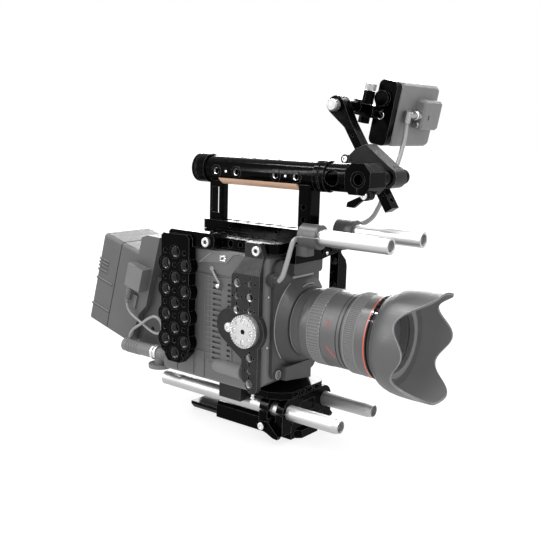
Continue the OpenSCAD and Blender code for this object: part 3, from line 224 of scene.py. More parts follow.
def brushed(name, level, rough, stretch):
    """Bare metal with brush marks."""
    made = Shader(name, (level, level, level), rough, metal=1.0)
    made.mottle(scale=90, amount=0.06, stretch=stretch).uneven(scale=400, spread=0.07, stretch=stretch)
    return made.rounded(radius=0.3).grain(scale=900, depth=0.01, strength=0.15, stretch=stretch)


def orange_paint(name):
    return Shader(name, (0.78, 0.11, 0.05), 0.35).mottle(scale=80, amount=0.08).uneven(scale=200, spread=0.05)


def coated_glass(name):
    made = Shader(name, (0.11, 0.113, 0.125), 0.05, shine=0.8)
    return made.mottle(scale=20, amount=0.1).uneven(scale=40, spread=0.02)


def screen_glass(name):
    return Shader(name, (0.008, 0.009, 0.012), 0.08, shine=0.25).uneven(scale=25, spread=0.03)


def oiled_wood(name):
    made = Shader(name, (1.0, 0.61, 0.43), 0.45).mottle(scale=500, amount=0.14, stretch=WOOD_FIBRE)
    return made.uneven(scale=300, spread=0.1).grain(scale=900, depth=0.05, strength=0.3, stretch=WOOD_FIBRE)


def black_lacquer(name):
    made = Shader(name, (0.012, 0.012, 0.013), 0.08)
    return made.mottle(scale=60, amount=0.2).uneven(scale=90, spread=0.03)


def white_paint(name):
    return Shader(name, (0.75, 0.75, 0.74), 0.5).mottle(scale=200, amount=0.05).uneven(scale=200, spread=0.08)


# The record's slots come first, then the looks that only this script uses
looks = {look.name: look for look in (
    anodised("black_anodised", level=0.0012, rough=0.14, shine=0.03, edge=0.26),
    moulded("grey_anodised", level=0.075, rough=0.42, grain=0.02),
    moulded("grey_plastic", level=0.17, rough=0.5),
    moulded("lens_black", level=0.125, rough=0.42, grain=0.02),
    moulded("ring_rubber", level=0.225, rough=0.65, grain=0.05),
    orange_paint("accent_orange"),
    coated_glass("lens_glass"),
    screen_glass("screen_glass"),
    brushed("bright_aluminium", level=0.52, rough=0.42, stretch=LENGTHWAYS),
    brushed("steel", level=0.7, rough=0.28, stretch=CROSSWAYS),
    oiled_wood("wood"),
    moulded("plug_plastic", level=0.19, rough=0.5),
    moulded("cable_rubber", level=0.34, rough=0.45, grain=0.02),
    anodised("satin_plate", level=0.02, rough=0.42, shine=0.16, edge=0.36),
    anodised("satin_block", level=0.03, rough=0.3, shine=0.05, edge=0.5),
    moulded("front_shell", level=0.057, rough=0.5),
    moulded("camera_shell", level=0.135, rough=0.5),
    moulded("battery_shell", level=0.113, rough=0.5),
    # The hood's pale edges are a painted highlight
    moulded("hood_shell", level=0.11, rough=0.42, grain=0.02).painted_edge_highlight(radius=1.3, shade=0.55),
    moulded("cover_shell", level=0.19, rough=0.5),
    brushed("thread_metal", level=0.32, rough=0.3, stretch=CROSSWAYS),
    brushed("dark_thread", level=0.045, rough=0.26, stretch=CROSSWAYS),
    brushed("knob_metal", level=0.3, rough=0.5, stretch=ALL_WAYS),
    brushed("satin_rod", level=0.47, rough=0.5, stretch=LENGTHWAYS),
    # Paler than the hood: painted light in the hood's shaded inside
    moulded("hood_lining_painted_light", level=0.18, rough=0.9, grain=0.05),
    # Paler than the lens: painted light inside the hood's shade
    moulded("inner_ring_painted_light", level=0.26, rough=0.55, grain=0.02),
    brushed("rosette_metal", level=0.54, rough=0.36, stretch=ALL_WAYS),
    moulded("light_shell", level=0.36, rough=0.45, grain=0.02),
    moulded("seam", level=0.03, rough=0.7, grain=0.01),
    black_lacquer("gloss_band"),
    white_paint("white_paint"),
)}
# Nodes whose look differs from their slot's
node_looks = {
    "right_side_plate": "satin_plate",
    "arm_clamp_block": "satin_block",
    "camera_front": "front_shell",
    "camera_body": "camera_shell",
    "vent_grille": "camera_shell",
    "battery_case": "battery_shell",
    "battery_plate": "battery_shell",
    "lens_hood": "hood_shell",
    "rear_rod_block": "satin_plate",
    "record_button": "front_shell",
    "lower_rod_right": "satin_rod",
    "lower_rod_left": "satin_rod",
    "tilt_knob": "knob_metal",
    "swivel_knob": "knob_metal",
    "monitor_plug": "thread_metal",
    "rosette": "rosette_metal",
    "cage_screws": "rosette_metal",
}

for part in frame["record"]["subparts"]:
    materials = nodes[part["node"]].data.materials
    materials.clear()
    materials.append(looks[node_looks.get(part["node"], part["material_slot"])].mat)


# Shapes: each returns its corners and faces
def turned(profile, at, axis, steps=40, closed=False):
    """A form turned round an axis: profile holds (along, radius) pairs."""
    spin = Vector(axis).to_track_quat("Z", "Y")
    verts, faces, rows = [], [], []
    for along, radius in profile:
        count = steps if radius > 0 else 1
        rows.append(range(len(verts), len(verts) + count))
        for i in range(count):
            angle = 2 * math.pi * i / steps
            reach = Vector((radius * math.cos(angle), radius * math.sin(angle), along))
            verts.append(Vector(at) + spin @ reach)
    followers = rows[1:] + rows[:1] if closed else rows[1:]
    for row, after in zip(rows, followers):
        for i in range(steps):
            j = (i + 1) % steps
            loop = (row[i % len(row)], row[j % len(row)], after[j % len(after)], after[i % len(after)])
            faces.append(list(dict.fromkeys(loop)))
    return verts, faces


def ring(at, axis, start, end, inner, outer, chamfer=0.3, steps=64):
    """A ring with broken edges."""
    profile = [(start, inner), (start, outer - chamfer), (start + chamfer, outer), (end - chamfer, outer),
               (end, outer - chamfer), (end, inner)]
    return turned(profile, at, axis, steps, closed=True)


def screw(at, axis, radius, height, steps=32, flats=6):
    """A domed screw head with a six-sided socket."""
    root, shoulder, socket_floor = -0.6, height * 0.6, height * 0.25
    crown, socket = radius * 0.8, radius * 0.52
    rim = [(root, 0), (root, radius), (shoulder, radius), (height, crown), (height, socket)]
    verts, faces = turned(rim, at, axis, steps)
    spin = Vector(axis).to_track_quat("Z", "Y")
    start = len(verts)
    for depth in (height, socket_floor):
        for i in range(flats):
            angle = 2 * math.pi * i / flats
            reach = Vector((socket * math.cos(angle), socket * math.sin(angle), depth))
            verts.append(Vector(at) + spin @ reach)
    for i in range(flats):
        j = (i + 1) % flats
        faces.append([start + i, start + j, start + flats + j, start + flats + i])
    faces.append([start + flats + i for i in range(flats)])
    top = start - steps
    for i in range(steps):
        j = (i + 1) % steps
        corner = start + int(flats * i / steps) % flats
        after = start + int(flats * j / steps) % flats
        faces.append(list(dict.fromkeys((top + i, top + j, after, corner))))
    return verts, faces


def thread(at, axis, radius, depth, pitch=1.1):
    """A threaded insert in a hole, from its mouth inwards."""
    root, crest = radius * 0.93, radius * 0.8
    turns = int(depth / pitch)
    bore = []
    for i in range(turns):
        bore += [(i * pitch, root), ((i + 0.5) * pitch, crest)]
    profile = [(0, radius)] + bore + [(turns * pitch, root), (turns * pitch, radius)]
    return turned(profile, at, axis, steps=28, closed=True)


def slab(outline, at, across, along, thick):
    """A flat plate: outline on the two given axes, raised by its thickness."""
    u, v = Vector(across), Vector(along)
    rise = u.cross(v).normalized() * thick
    low = [Vector(at) + u * a + v * b for a, b in outline]
    count = len(low)
    faces = [list(range(count)), list(range(count, 2 * count))]
    faces += [[i, (i + 1) % count, count + (i + 1) % count, count + i] for i in range(count)]
    return low + [corner + rise for corner in low], faces


def on_side(outline, y, thick):
    """A plate on a face that looks towards -Y, outline in X and Z."""
    return slab(outline, (0, y, 0), TO_FRONT, UP, thick)


def on_left(outline, y, thick):
    """A plate on a face that looks towards +Y, outline in X and Z."""
    return slab([(z, x) for x, z in outline], (0, y, 0), UP, TO_FRONT, thick)


def on_front(outline, x, thick):
    """A plate on a face that looks towards +X, outline in Y and Z."""
    return slab(outline, (x, 0, 0), TO_LEFT, UP, thick)


def rectangle(a, b):
    """The corners of a rectangle, from its two ends along each axis."""
    return [(a[0], b[0]), (a[1], b[0]), (a[1], b[1]), (a[0], b[1])]


def frame_bars(a, b, width):
    """Four bars round a rectangle."""
    return [rectangle(a, (b[0], b[0] + width)), rectangle(a, (b[1] - width, b[1])),
            rectangle((a[0], a[0] + width), (b[0] + width, b[1] - width)),
            rectangle((a[1] - width, a[1]), (b[0] + width, b[1] - width))]


ROUTE_STEPS = 6


def smooth_route(points, steps=ROUTE_STEPS):
    """A smooth curve through the points."""
    ends = [points[0] * 2 - points[1]] + points + [points[-1] * 2 - points[-2]]
    route = []
    for a, b, c, d in zip(ends, ends[1:], ends[2:], ends[3:]):
        for i in range(steps):
            t = i / steps
            route.append(0.5 * (2 * b + (c - a) * t + (2 * a - 5 * b + 4 * c - d) * t * t
                                + (3 * b - a - 3 * c + d) * t ** 3))
    return route + [points[-1]]


GROOVE_POWER = 16


def tube(points, radius, sides=14, groove=0.0):
    """A tube along the points, with a narrow groove on two sides where one is asked for."""
    verts, faces = [], []
    heading = (points[1] - points[0]).normalized()
    normal = heading.orthogonal().normalized()
    for i, point in enumerate(points):
        after = points[min(i + 1, len(points) - 1)] - points[max(i - 1, 0)]
        normal = heading.rotation_difference(after) @ normal
        heading = after.normalized()
        across = heading.cross(normal).normalized()
        for k in range(sides):
            angle = 2 * math.pi * k / sides
            reach = radius - groove * math.cos(angle) ** GROOVE_POWER
            verts.append(point + (normal * math.cos(angle) + across * math.sin(angle)) * reach)
    for i in range(len(points) - 1):
        for k in range(sides):
            j = (k + 1) % sides
            faces.append([i * sides + k, i * sides + j, (i + 1) * sides + j, (i + 1) * sides + k])
    faces.append(list(range(sides)))
    faces.append(list(range(len(verts) - sides, len(verts))))
    return verts, faces


# Forms about the lens axis
ZOOM_LOW, ZOOM_HIGH = node_box("zoom_ring")
FOCUS_LOW, FOCUS_HIGH = node_box("focus_ring")
AXIS_Z = (ZOOM_LOW.z + ZOOM_HIGH.z) / 2
LENS_STEPS, LINE_SIDES = 96, 8
RIB_SLOPE = 0.2
HOOD_BACK_X, HOOD_BACK_RADIUS, HOOD_FRONT_RADIUS, HOOD_FLARE, HOOD_WALL = 159.8, 43.3, 50.5, 8.5, 2
# The hood's front edge is this far from its back, plus waves given as (waves in a turn, height)
PETAL_LENGTH, PETAL_WAVES = 36.55, ((2, 11.5), (4, 5.75), (6, -4.8))
LINING_SETBACK = 0.3


def lens_point(x, radius, degrees):
    """A point about the lens axis; 90 is up and 180 is the camera's right side."""
    angle = math.radians(degrees)
    return Vector((x, radius * math.cos(angle), AXIS_Z + radius * math.sin(angle)))


def lens_line(start, end, thick, steps=28):
    """A thin raised line round the lens between two (x, radius, degrees) places."""
    places = [[a + (b - a) * i / steps for a, b in zip(start, end)] for i in range(steps + 1)]
    return tube([lens_point(*place) for place in places], thick, LINE_SIDES)


def lens_ring(start, end, inner, outer, chamfer):
    """A ring about the lens axis."""
    return ring((0, 0, AXIS_Z), TO_FRONT, start, end, inner, outer, chamfer, LENS_STEPS)


def ribbed_ring(start, end, inner, root, crest, ribs, flange):
    """A ring about the lens axis with fine ribs between two plain edges."""
    rib = ((0, root), (0.14, crest), (0.5, crest), (0.64, root))
    hollow, plain, ribbed = [inner] * len(rib), [crest] * len(rib), [radius for _, radius in rib]
    first, last = start + flange, end - flange
    rows = [(start, hollow), (start, plain), (first, plain), (first + RIB_SLOPE, ribbed),
            (last - RIB_SLOPE, ribbed), (last, plain), (end, plain), (end, hollow)]
    verts, faces, count = [], [], len(rib) * ribs
    for x, radii in rows:
        for i in range(ribs):
            for (share, _), radius in zip(rib, radii):
                verts.append(lens_point(x, radius, 360 * (i + share) / ribs))
    for row in range(len(rows)):
        after = (row + 1) % len(rows)
        for i in range(count):
            j = (i + 1) % count
            faces.append([row * count + i, row * count + j, after * count + j, after * count + i])
    return verts, faces


def hood_edge(angle):
    """How far the petal hood reaches forward at an angle from its top."""
    return PETAL_LENGTH + sum(height * math.cos(waves * angle) for waves, height in PETAL_WAVES)


def hood_radius(along):
    """The petal hood's outer radius at a distance from its back."""
    return HOOD_BACK_RADIUS + (HOOD_FRONT_RADIUS - HOOD_BACK_RADIUS) * (1 - math.exp(-along / HOOD_FLARE))


def hood_skin(start, gap, thick, sides=LENS_STEPS, steps=7):
    """A thin skin inside the petal hood, as far as its front edge."""
    verts, faces = [], []
    for depth in (gap, gap + thick):
        for step in range(steps + 1):
            for i in range(sides):
                angle = 2 * math.pi * i / sides
                along = start + (hood_edge(angle) - start) * step / steps
                if step == steps:
                    along -= LINING_SETBACK
                radius = hood_radius(along) - HOOD_WALL - depth
                verts.append(lens_point(HOOD_BACK_X + along, radius, 90 - math.degrees(angle)))

    def first_corner(skin, step):
        return (skin * (steps + 1) + step) * sides

    pairs = [(first_corner(skin, j), first_corner(skin, j + 1)) for skin in (0, 1) for j in range(steps)]
    pairs += [(first_corner(0, j), first_corner(1, j)) for j in (0, steps)]
    for low, high in pairs:
        for i in range(sides):
            j = (i + 1) % sides
            faces.append([low + i, low + j, high + j, high + i])
    return verts, faces


# Pieces
SHARP = math.radians(38)


def make_mesh(name, shapes, look, place=Matrix.Identity(4), bevel=0.0):
    """One mesh object from several shapes."""
    form = bmesh.new()
    for verts, faces in shapes:
        corners = [form.verts.new(v) for v in verts]
        for face in faces:
            form.faces.new([corners[i] for i in face])
    bmesh.ops.recalc_face_normals(form, faces=form.faces)
    bmesh.ops.transform(form, matrix=Matrix.Scale(MM, 4) @ place, verts=form.verts)
    mesh = bpy.data.meshes.new(name)
    form.to_mesh(mesh)
    form.free()
    mesh.polygons.foreach_set("use_smooth", [True] * len(mesh.polygons))
    mesh.set_sharp_from_angle(angle=SHARP)
    mesh.materials.append(looks[look].mat)
    made = bpy.data.objects.new(name, mesh)
    bpy.context.scene.collection.objects.link(made)
    if bevel:
        edge = made.modifiers.new("edge", "BEVEL")
        edge.width = bevel * MM
        edge.segments = 2
        edge.limit_method = "ANGLE"
    return made


def add(name, body, slot, shapes, look=None, **options):
    """A detail piece that rides on a body, in its slot's look or in another one; options are make_mesh's."""
    made = make_mesh(name, shapes, look or slot, **options)
    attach(made, body)
    return made


def tilted_place(origin, degrees):
    """Axes at an origin, tilted about Y."""
    return Matrix.Translation(Vector(origin)) @ Matrix.Rotation(math.radians(degrees), 4, "Y")


# The monitor's and the battery's own axes, at the tilt hinge and on the battery plate
MONITOR = tilted_place((58.225, 0, 327.647), 10.5)
BATTERY = tilted_place((-138.5, 0, 162.5), 15)

# Cables: the monitor's cable in four lengths, one across each joint, and the battery's cable
CABLE_RADIUS, POWER_RADIUS = 2.5, 1.5
CORD_SIDES, GROOVE_SHARE = 16, 0.1
monitor_route = [Vector(p) for p in (
    (96.4, 117, 315.0), (96.7, 116.8, 309), (97.3, 115, 301.6), (98.3, 111, 293), (99.1, 106, 285),
    (100.3, 100, 277), (101, 93, 267.5), (101, 86, 257), (100, 79, 245), (97.5, 71, 232), (94, 65, 219.5),
    (89, 59, 213), (82, 53, 209.5), (74, 46, 206.5), (70.5, 37, 204), (70.5, 26, 202.5), (70.8, 13, 202),
    (70.8, 0, 202), (70.8, -14, 202.2), (70.8, -28, 202.6), (70.4, -38, 200.8), (69.5, -41.6, 192.5),
    (68.5, -44, 183.5), (67.5, -46.6, 174.8), (66, -48.5, 167.5), (62, -49, 163))]
power_route = [Vector(p) for p in (
    (-150.32, -44, 108.73), (-148.5, -44, 102.5), (-142.5, -44, 96.5), (-132, -44, 91.5), (-121, -44.5, 87),
    (-110, -45, 83), (-100, -45.5, 82.5), (-93.5, -46, 88), (-95, -47, 97), (-103, -47.5, 101),
    (-113, -47.5, 97), (-125, -47, 89), (-136, -46.5, 82), (-142, -46, 76), (-144, -46, 70.5))]
# Each length's name, the route's points at its two ends and where it starts to bend, the two bodies that it
# joins, and the solids that it stands for
monitor_lengths = (
    ("monitor_cord_4", 13, 25, 15, "rig", "cross_rod", ("monitor_cable_4",)),
    ("monitor_cord_3", 10, 13, 13, "cross_rod", "clamp_block", ("monitor_cable_4",)),
    ("monitor_cord_2", 7, 10, 10, "clamp_block", "arm", ("monitor_cable_3",)),
    ("monitor_cord_1", 0, 7, 7, "arm", "monitor", ("monitor_cable_1", "monitor_cable_2")),
)


def add_cord(name, route, radius, solids):
    made = make_mesh(name, [tube(route, radius, CORD_SIDES, radius * GROOVE_SHARE)], "cable_rubber")
    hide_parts(*solids)
    return made


def add_monitor_cable():
    smooth = smooth_route(monitor_route)
    for name, top, foot, bend, still_body, moving_body, solids in monitor_lengths:
        route = smooth[top * ROUTE_STEPS:foot * ROUTE_STEPS + 1][::-1]
        cord = add_cord(name, route, CABLE_RADIUS, solids)
        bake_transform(cord)


def add_power_cable():
    route = smooth_route(power_route)
    cord = add_cord("power_cord", route, POWER_RADIUS, ("power_cable",))
    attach(cord, "rig")


add_monitor_cable()
add_power_cable()

# Faces that the details stand on
SIDE_Y = node_box("vent_grille")[0].y
PLATE_Y = node_box("right_side_plate")[0].y
HONEYCOMB_Y = node_box("honeycomb_plate")[0].y
ROSETTE_Y = node_box("rosette")[0].y
LEFT_Y = node_box("camera_body")[1].y
BUTTON_X = node_box("record_button")[1].x
COVER_X = 57
# Hole pitch of the cage plates, and the radii of their holes
HOLE_PITCH, QUARTER, THREE_EIGHTHS, BIG_HOLE = 13, 2.55, 3.97, 5.6
THREAD_GAP = 0.05


def add_rod_plugs():
    plug = [(-9, 0), (-9, 5.4), (-1.4, 5.4), (-1.6, 4.4), (-2.8, 4.1), (-2.8, 0)]
    for rod in ("lower_rod_right", "lower_rod_left", "upper_rod_right", "upper_rod_left"):
        low, high = node_box(rod)
        middle = (low + high) / 2
        ends = ((high.x, TO_FRONT), (low.x, TO_BACK))
        shapes = [turned(plug, (x, middle.y, middle.z), way) for x, way in ends]
        add(rod + "_plugs", rod, "grey_plastic", shapes)


def add_plate_threads():
    """Threads of the right plate: each column has its x, its top z and whether it starts with a large one."""
    columns, rows = ((26, 158.5, True), (42, 159.5, False), (43, 88, True)), 3
    inset, depth = 0.5, 5
    shapes = []
    for i in range(rows):
        for x, top, large_first in columns:
            radius = THREE_EIGHTHS if large_first == (i % 2 == 0) else QUARTER
            at = (x, PLATE_Y + inset, top - HOLE_PITCH * i)
            shapes.append(thread(at, TO_LEFT, radius - THREAD_GAP, depth))
    add("plate_threads", "rig", "steel", shapes, look="thread_metal")


def add_honeycomb_threads():
    middle_x, top_z, rows = -50.5, 180, 9
    inset, depth = 1.4, 7
    shapes = []
    for i in range(rows):
        for column in (-1, 0, 1):
            radius = BIG_HOLE if (column == 0) == (i % 2 == 0) else QUARTER
            at = (middle_x + HOLE_PITCH * column, HONEYCOMB_Y + inset, top_z - HOLE_PITCH * i)
            shapes.append(thread(at, TO_LEFT, radius - THREAD_GAP, depth))
    add("honeycomb_threads", "rig", "steel", shapes, look="dark_thread")


def add_plate_screws():
    middle_x, middle_z, circle, count = 39, 114, 10.5, 8
    large, small, height, inset = 2.3, 1.6, 0.9, 0.8
    shapes = []
    for i in range(count):
        angle = 2 * math.pi * i / count
        at = (middle_x + circle * math.cos(angle), ROSETTE_Y + inset, middle_z + circle * math.sin(angle))
        shapes.append(screw(at, TO_SIDE, large if i % 2 == 0 else small, height))
    ear_screw, ear_radius = (18.5, -69, 114.5), 3.4
    shapes.append(screw(ear_screw, TO_SIDE, ear_radius, height))
    add("rosette_screws", "rig", "steel", shapes)
    heads = (((46, -64.05, 191), TO_SIDE), ((-12, -70, 193.5), TO_SIDE), ((46, 75.05, 191), TO_LEFT))
    rims = [ring(at, way, start=-0.2, end=0.35, inner=2.9, outer=4.2) for at, way in heads]
    add("cage_screw_rims", "rig", "steel", rims)
    socket = [(-2.4, 0), (-2.4, 1.95), (-0.7, 1.95), (-1.2, 1.2), (-1.2, 0)]
    sockets = [turned(socket, at, way, steps=24) for at, way in heads]
    add("cage_screw_sockets", "rig", "black_anodised", sockets, look="seam")


def add_side_cover():
    """The thin cover at the top of the camera's right side, with a pale strip of painted highlight along its
    fold, and a metal loop.
    """
    cover_thick, fold_height, loop_height = 0.8, 0.5, 1.4
    cover_y = SIDE_Y - cover_thick
    outline = [(-37, 169), (-30, 170.7), (-5, 173), (5.5, 173.5), (14, 182.5), (24, 184.5), (24, 185.8),
               (-37, 184)]
    cover = on_side(outline, SIDE_Y, cover_thick)
    add("side_top_cover", "rig", "grey_plastic", [cover], look="cover_shell", bevel=0.3)
    # A pale strip along the cover's fold: a painted highlight
    fold = on_side([(-30.5, 171), (-29.6, 170.4), (-13.6, 182.3), (-14.4, 182.9)], cover_y, fold_height)
    add("side_cover_fold_highlight", "rig", "grey_plastic", [fold], look="light_shell")
    loop = frame_bars((-2.4, 4.8), (175.2, 181), width=1.6)
    bars = [on_side(bar, cover_y, loop_height) for bar in loop]
    add("side_clip", "rig", "steel", bars, bevel=0.3)


def add_side_pull():
    route = [Vector(at) for at in (
        (-13, -58.2, 166.5), (-10.2, -59, 163.2), (-5.2, -60, 157.6), (-1.5, -60.5, 154),
        (-2.4, -60.6, 151.6))]
    stem = tube(smooth_route(route), radius=1.1)
    pivot = ring((route[0].x, SIDE_Y, route[0].z), TO_SIDE, start=-0.3, end=1.8, inner=0.8, outer=2.4)
    add("side_pull", "rig", "grey_plastic", [stem, pivot], look="light_shell")
    ball = [(-2.5, 0), (-2.3, 1.2), (-1.3, 2.2), (-0.4, 2.6), (0.4, 2.6), (1.3, 2.2), (2.3, 1.2), (2.5, 0)]
    ball_at = (-2.6, -60.6, 150.4)
    add("side_pull_knob", "rig", "steel", [turned(ball, ball_at, UP, steps=28)])


def add_vent_trim():
    """The block beside the vent, the vent's frame and a lip under each of its slots."""
    block_height, height = 1, 0.5
    block = on_side(rectangle((-33.4, -21.9), (52.5, 81)), SIDE_Y, block_height)
    add("side_block", "rig", "grey_plastic", [block], look="camera_shell", bevel=0.4)
    bars = [on_side(bar, SIDE_Y, height) for bar in frame_bars((-22.6, 13.4), (73.4, 158.4), width=0.8)]
    add("vent_frame", "rig", "grey_plastic", bars, look="cover_shell")
    rows, first_row, rows_height = 15, 75, 82
    slots, lip_low, lip_high = ((-21, -1), (7, 12)), -1.1, -0.2
    lips = []
    for i in range(rows):
        z = first_row + i * rows_height / rows
        for ends in slots:
            lips.append(on_side(rectangle(ends, (z + lip_low, z + lip_high)), SIDE_Y, height))
    add("vent_lips", "rig", "grey_plastic", lips, look="cover_shell")


def add_side_boss():
    cone = [(-12, 0), (-12, 2.5), (-9, 6.5), (-4, 7.8), (24, 8.6), (25, 9.2), (27, 9.2), (28, 8.4), (28, 0)]
    boss_at = (0, -54, 69)
    add("side_boss", "rig", "grey_plastic", [turned(cone, boss_at, TO_FRONT, steps=48)], look="cover_shell")


def add_left_side():
    """The panel on the camera's left side: its frame, screws, keys, socket doors and dial."""
    panel_x, panel_z, inset = (-72, 20), (62, 176), 5
    frame_height, key_height, door_height = 0.6, 1.2, 1.4
    bars = [on_left(bar, LEFT_Y, frame_height) for bar in frame_bars(panel_x, panel_z, width=1)]
    add("left_panel_frame", "rig", "grey_plastic", bars, look="cover_shell")
    screw_x, screw_z = [(low + inset, high - inset) for low, high in (panel_x, panel_z)]
    screws = [screw((x, LEFT_Y, z), TO_LEFT, radius=1.8, height=0.9) for x in screw_x for z in screw_z]
    add("left_panel_screws", "rig", "steel", screws)
    key_x, key_width, key_pitch, key_z, key_count = -60, 9, 13, (150, 155), 5
    starts = [key_x + key_pitch * i for i in range(key_count)]
    keys = [on_left(rectangle((start, start + key_width), key_z), LEFT_Y, key_height) for start in starts]
    add("left_keys", "rig", "grey_plastic", keys, look="cover_shell", bevel=0.5)
    door_z = (72, 132)
    doors = [on_left(rectangle(door_x, door_z), LEFT_Y, door_height) for door_x in ((-62, -30), (-24, 8))]
    add("left_socket_doors", "rig", "ring_rubber", doors, bevel=0.6)
    dial = [(-0.4, 0), (-0.4, 6), (3.2, 6), (4, 5.2), (4, 2), (3.4, 1.6), (3.4, 0)]
    dial_at = (9, LEFT_Y, 152.5)
    add("left_dial", "rig", "grey_plastic", [turned(dial, dial_at, TO_LEFT, steps=36)], look="cover_shell")


def add_camera_front():
    # A raised ridge and two thin lines on the front, drawn pale as painted highlights
    ridge = on_front(rectangle((-19.6, 14), (161, 163.4)), COVER_X, thick=1.6)
    cover_line = lens_line((57.6, 47, 120), (57.6, 47, 222), thick=0.45)
    boss_line = lens_line((64.4, 38.6, 80), (64.4, 38.6, 108), thick=0.6)
    add("front_painted_highlights", "rig", "grey_plastic", [ridge, cover_line, boss_line], look="light_shell")
    # A thin pale line along the mount's edge: a painted highlight
    mount_line = lens_line((66.4, 33.6, 115), (66.4, 33.6, 235), thick=0.5)
    add("mount_edge_highlight", "rig", "lens_black", [mount_line], look="light_shell")
    screws = [screw((53, -51.5, z), TO_FRONT, radius=1.3, height=0.6) for z in (97, 146.5)]
    add("front_screws", "rig", "steel", screws)
    button_at = (BUTTON_X, -40, 69)
    rims = [ring(button_at, TO_FRONT, start=-0.3, end=0.3, inner=3.6, outer=4.5),
            ring(button_at, TO_FRONT, start=-0.3, end=0.2, inner=1.6, outer=2.2)]
    add("button_rings", "record_button", "grey_plastic", rims, look="light_shell")


def add_lens_grips():
    """The ribbed rubber of the zoom and focus rings, and the zoom ring's white ticks."""
    inner = 36.1
    zoom_grip = ribbed_ring(ZOOM_LOW.x, ZOOM_HIGH.x, inner, root=36.7, crest=ZOOM_HIGH.y,
                            ribs=76, flange=1.1)
    zoom = add("zoom_grip", "zoom_ring", "ring_rubber", [zoom_grip])
    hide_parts("zoom_ring")
    focus_grip = ribbed_ring(FOCUS_LOW.x, FOCUS_HIGH.x, inner, root=38.3, crest=FOCUS_HIGH.y,
                             ribs=132, flange=1.4)
    focus = add("focus_grip", "focus_ring", "ring_rubber", [focus_grip])
    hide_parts("focus_ring")
    tick_x, tick_radius, first, pitch, wide, count = 101.65, 37.55, 128, 6.5, 1.4, 9
    ticks = []
    for i in range(count):
        start = first + pitch * i
        ends = (tick_x, tick_radius, start), (tick_x, tick_radius, start + wide)
        ticks.append(lens_line(*ends, thick=0.28, steps=3))
    add("zoom_ticks", "zoom_ring", "ring_rubber", ticks, look="white_paint")


def add_lens_band():
    """Two plain marks on the band between the rings, and two dark rings of painted shade where the band has
    two grooves.
    """
    radius = 37.2
    dash = lens_line((110, radius, 155), (110, radius, 166), thick=0.5)
    slant = lens_line((109.6, radius, 194), (118, radius, 211), thick=0.45)
    add("band_marks", "rig", "accent_orange", [dash, slant])
    # Dark rings of painted shade standing for two grooves
    painted_shade_lines = [lens_ring(start, end, inner=36.4, outer=37.32, chamfer=0.1)
               for start, end in ((119.5, 120.7), (123.5, 125.2))]
    add("band_groove_shade", "rig", "lens_black", painted_shade_lines, look="seam")


def add_lens_front():
    """The hood's lining and the filter thread, both paler than the lens as painted light in the hood's shade,
    and the sleeve and dark edge at the lens's front rim.
    """
    lining = hood_skin(start=6, gap=0.05, thick=0.2)
    # The lining's paler look is painted light against the shade inside the hood
    add("hood_lining_painted_light", "lens_hood", "lens_black", [lining], look="hood_lining_painted_light")
    sleeve = lens_ring(153.3, 159.4, inner=38.25, outer=38.7, chamfer=0.2)
    add("rim_sleeve", "rig", "lens_black", [sleeve], look="gloss_band")
    first, pitch, wide, count = 160, 0.9, 0.5, 6
    starts = [first + pitch * i for i in range(count)]
    ridges = [lens_ring(start, start + wide, inner=30.9, outer=31.6, chamfer=0.15) for start in starts]
    ridges.append(lens_ring(164.8, 165.3, inner=31.4, outer=36.8, chamfer=0.2))
    # The thread's paler look is painted light in the shade of the hood
    add("filter_thread", "rig", "lens_black", ridges, look="inner_ring_painted_light")
    edge = lens_ring(152.3, 153.5, inner=38.3, outer=40.12, chamfer=0.1)
    add("accent_edge", "rig", "lens_black", [edge], look="gloss_band")


def add_handle():
    hole_places, pin_places, z = (-49, -22.5, 27.5, 52.4), (-36.6, 39.2), 258.5
    hole_y, hole_radius, hole_depth, pin_y = 13.2, 3.35, 3.2, 12.8
    shapes = []
    for x in hole_places:
        shapes.append(thread((x, -hole_y, z), TO_LEFT, hole_radius, hole_depth))
        shapes.append(thread((x, hole_y, z), TO_SIDE, hole_radius, hole_depth))
    add("grip_threads", "rig", "steel", shapes, look="thread_metal")
    pin = [(-3, 0), (-3, 1.5), (-0.3, 1.5), (0, 1.2), (0, 0)]
    pin_faces = ((-pin_y, TO_SIDE), (pin_y, TO_LEFT))
    pins = [turned(pin, (x, y, z), way, steps=20) for y, way in pin_faces for x in pin_places]
    add("grip_pins", "rig", "steel", pins)
    add("clamp_bolt_cap", "rig", "steel", [screw((128, -12, 246), TO_SIDE, radius=3.6, height=1.2)])
    add("block_lobe_screw", "clamp_block", "steel", [screw((75.5, 36, 275.5), TO_SIDE, radius=3, height=1.2)])
    add("bar_screw", "rig", "steel", [screw((72, 16, 184), TO_FRONT, radius=2, height=0.9)])


def add_base():
    low, high = node_box("rod_bracket")
    pin_x, pin_z = 46.5, 16.5
    faces = ((low.y, TO_SIDE), (high.y, TO_LEFT))
    caps = [screw((pin_x, y, pin_z), way, radius=3.6, height=0.9) for y, way in faces]
    add("lever_pin_caps", "rig", "steel", caps)
    bolt = [(0, 0), (0, 2), (-3.4, 2), (-3.4, 2.9), (-5.2, 2.9), (-5.8, 2.4), (-5.8, 0)]
    bolt_at = (29, -41, node_box("camera_plate")[0].z)
    add("wing_screw", "rig", "steel", [turned(bolt, bolt_at, UP, steps=28)])


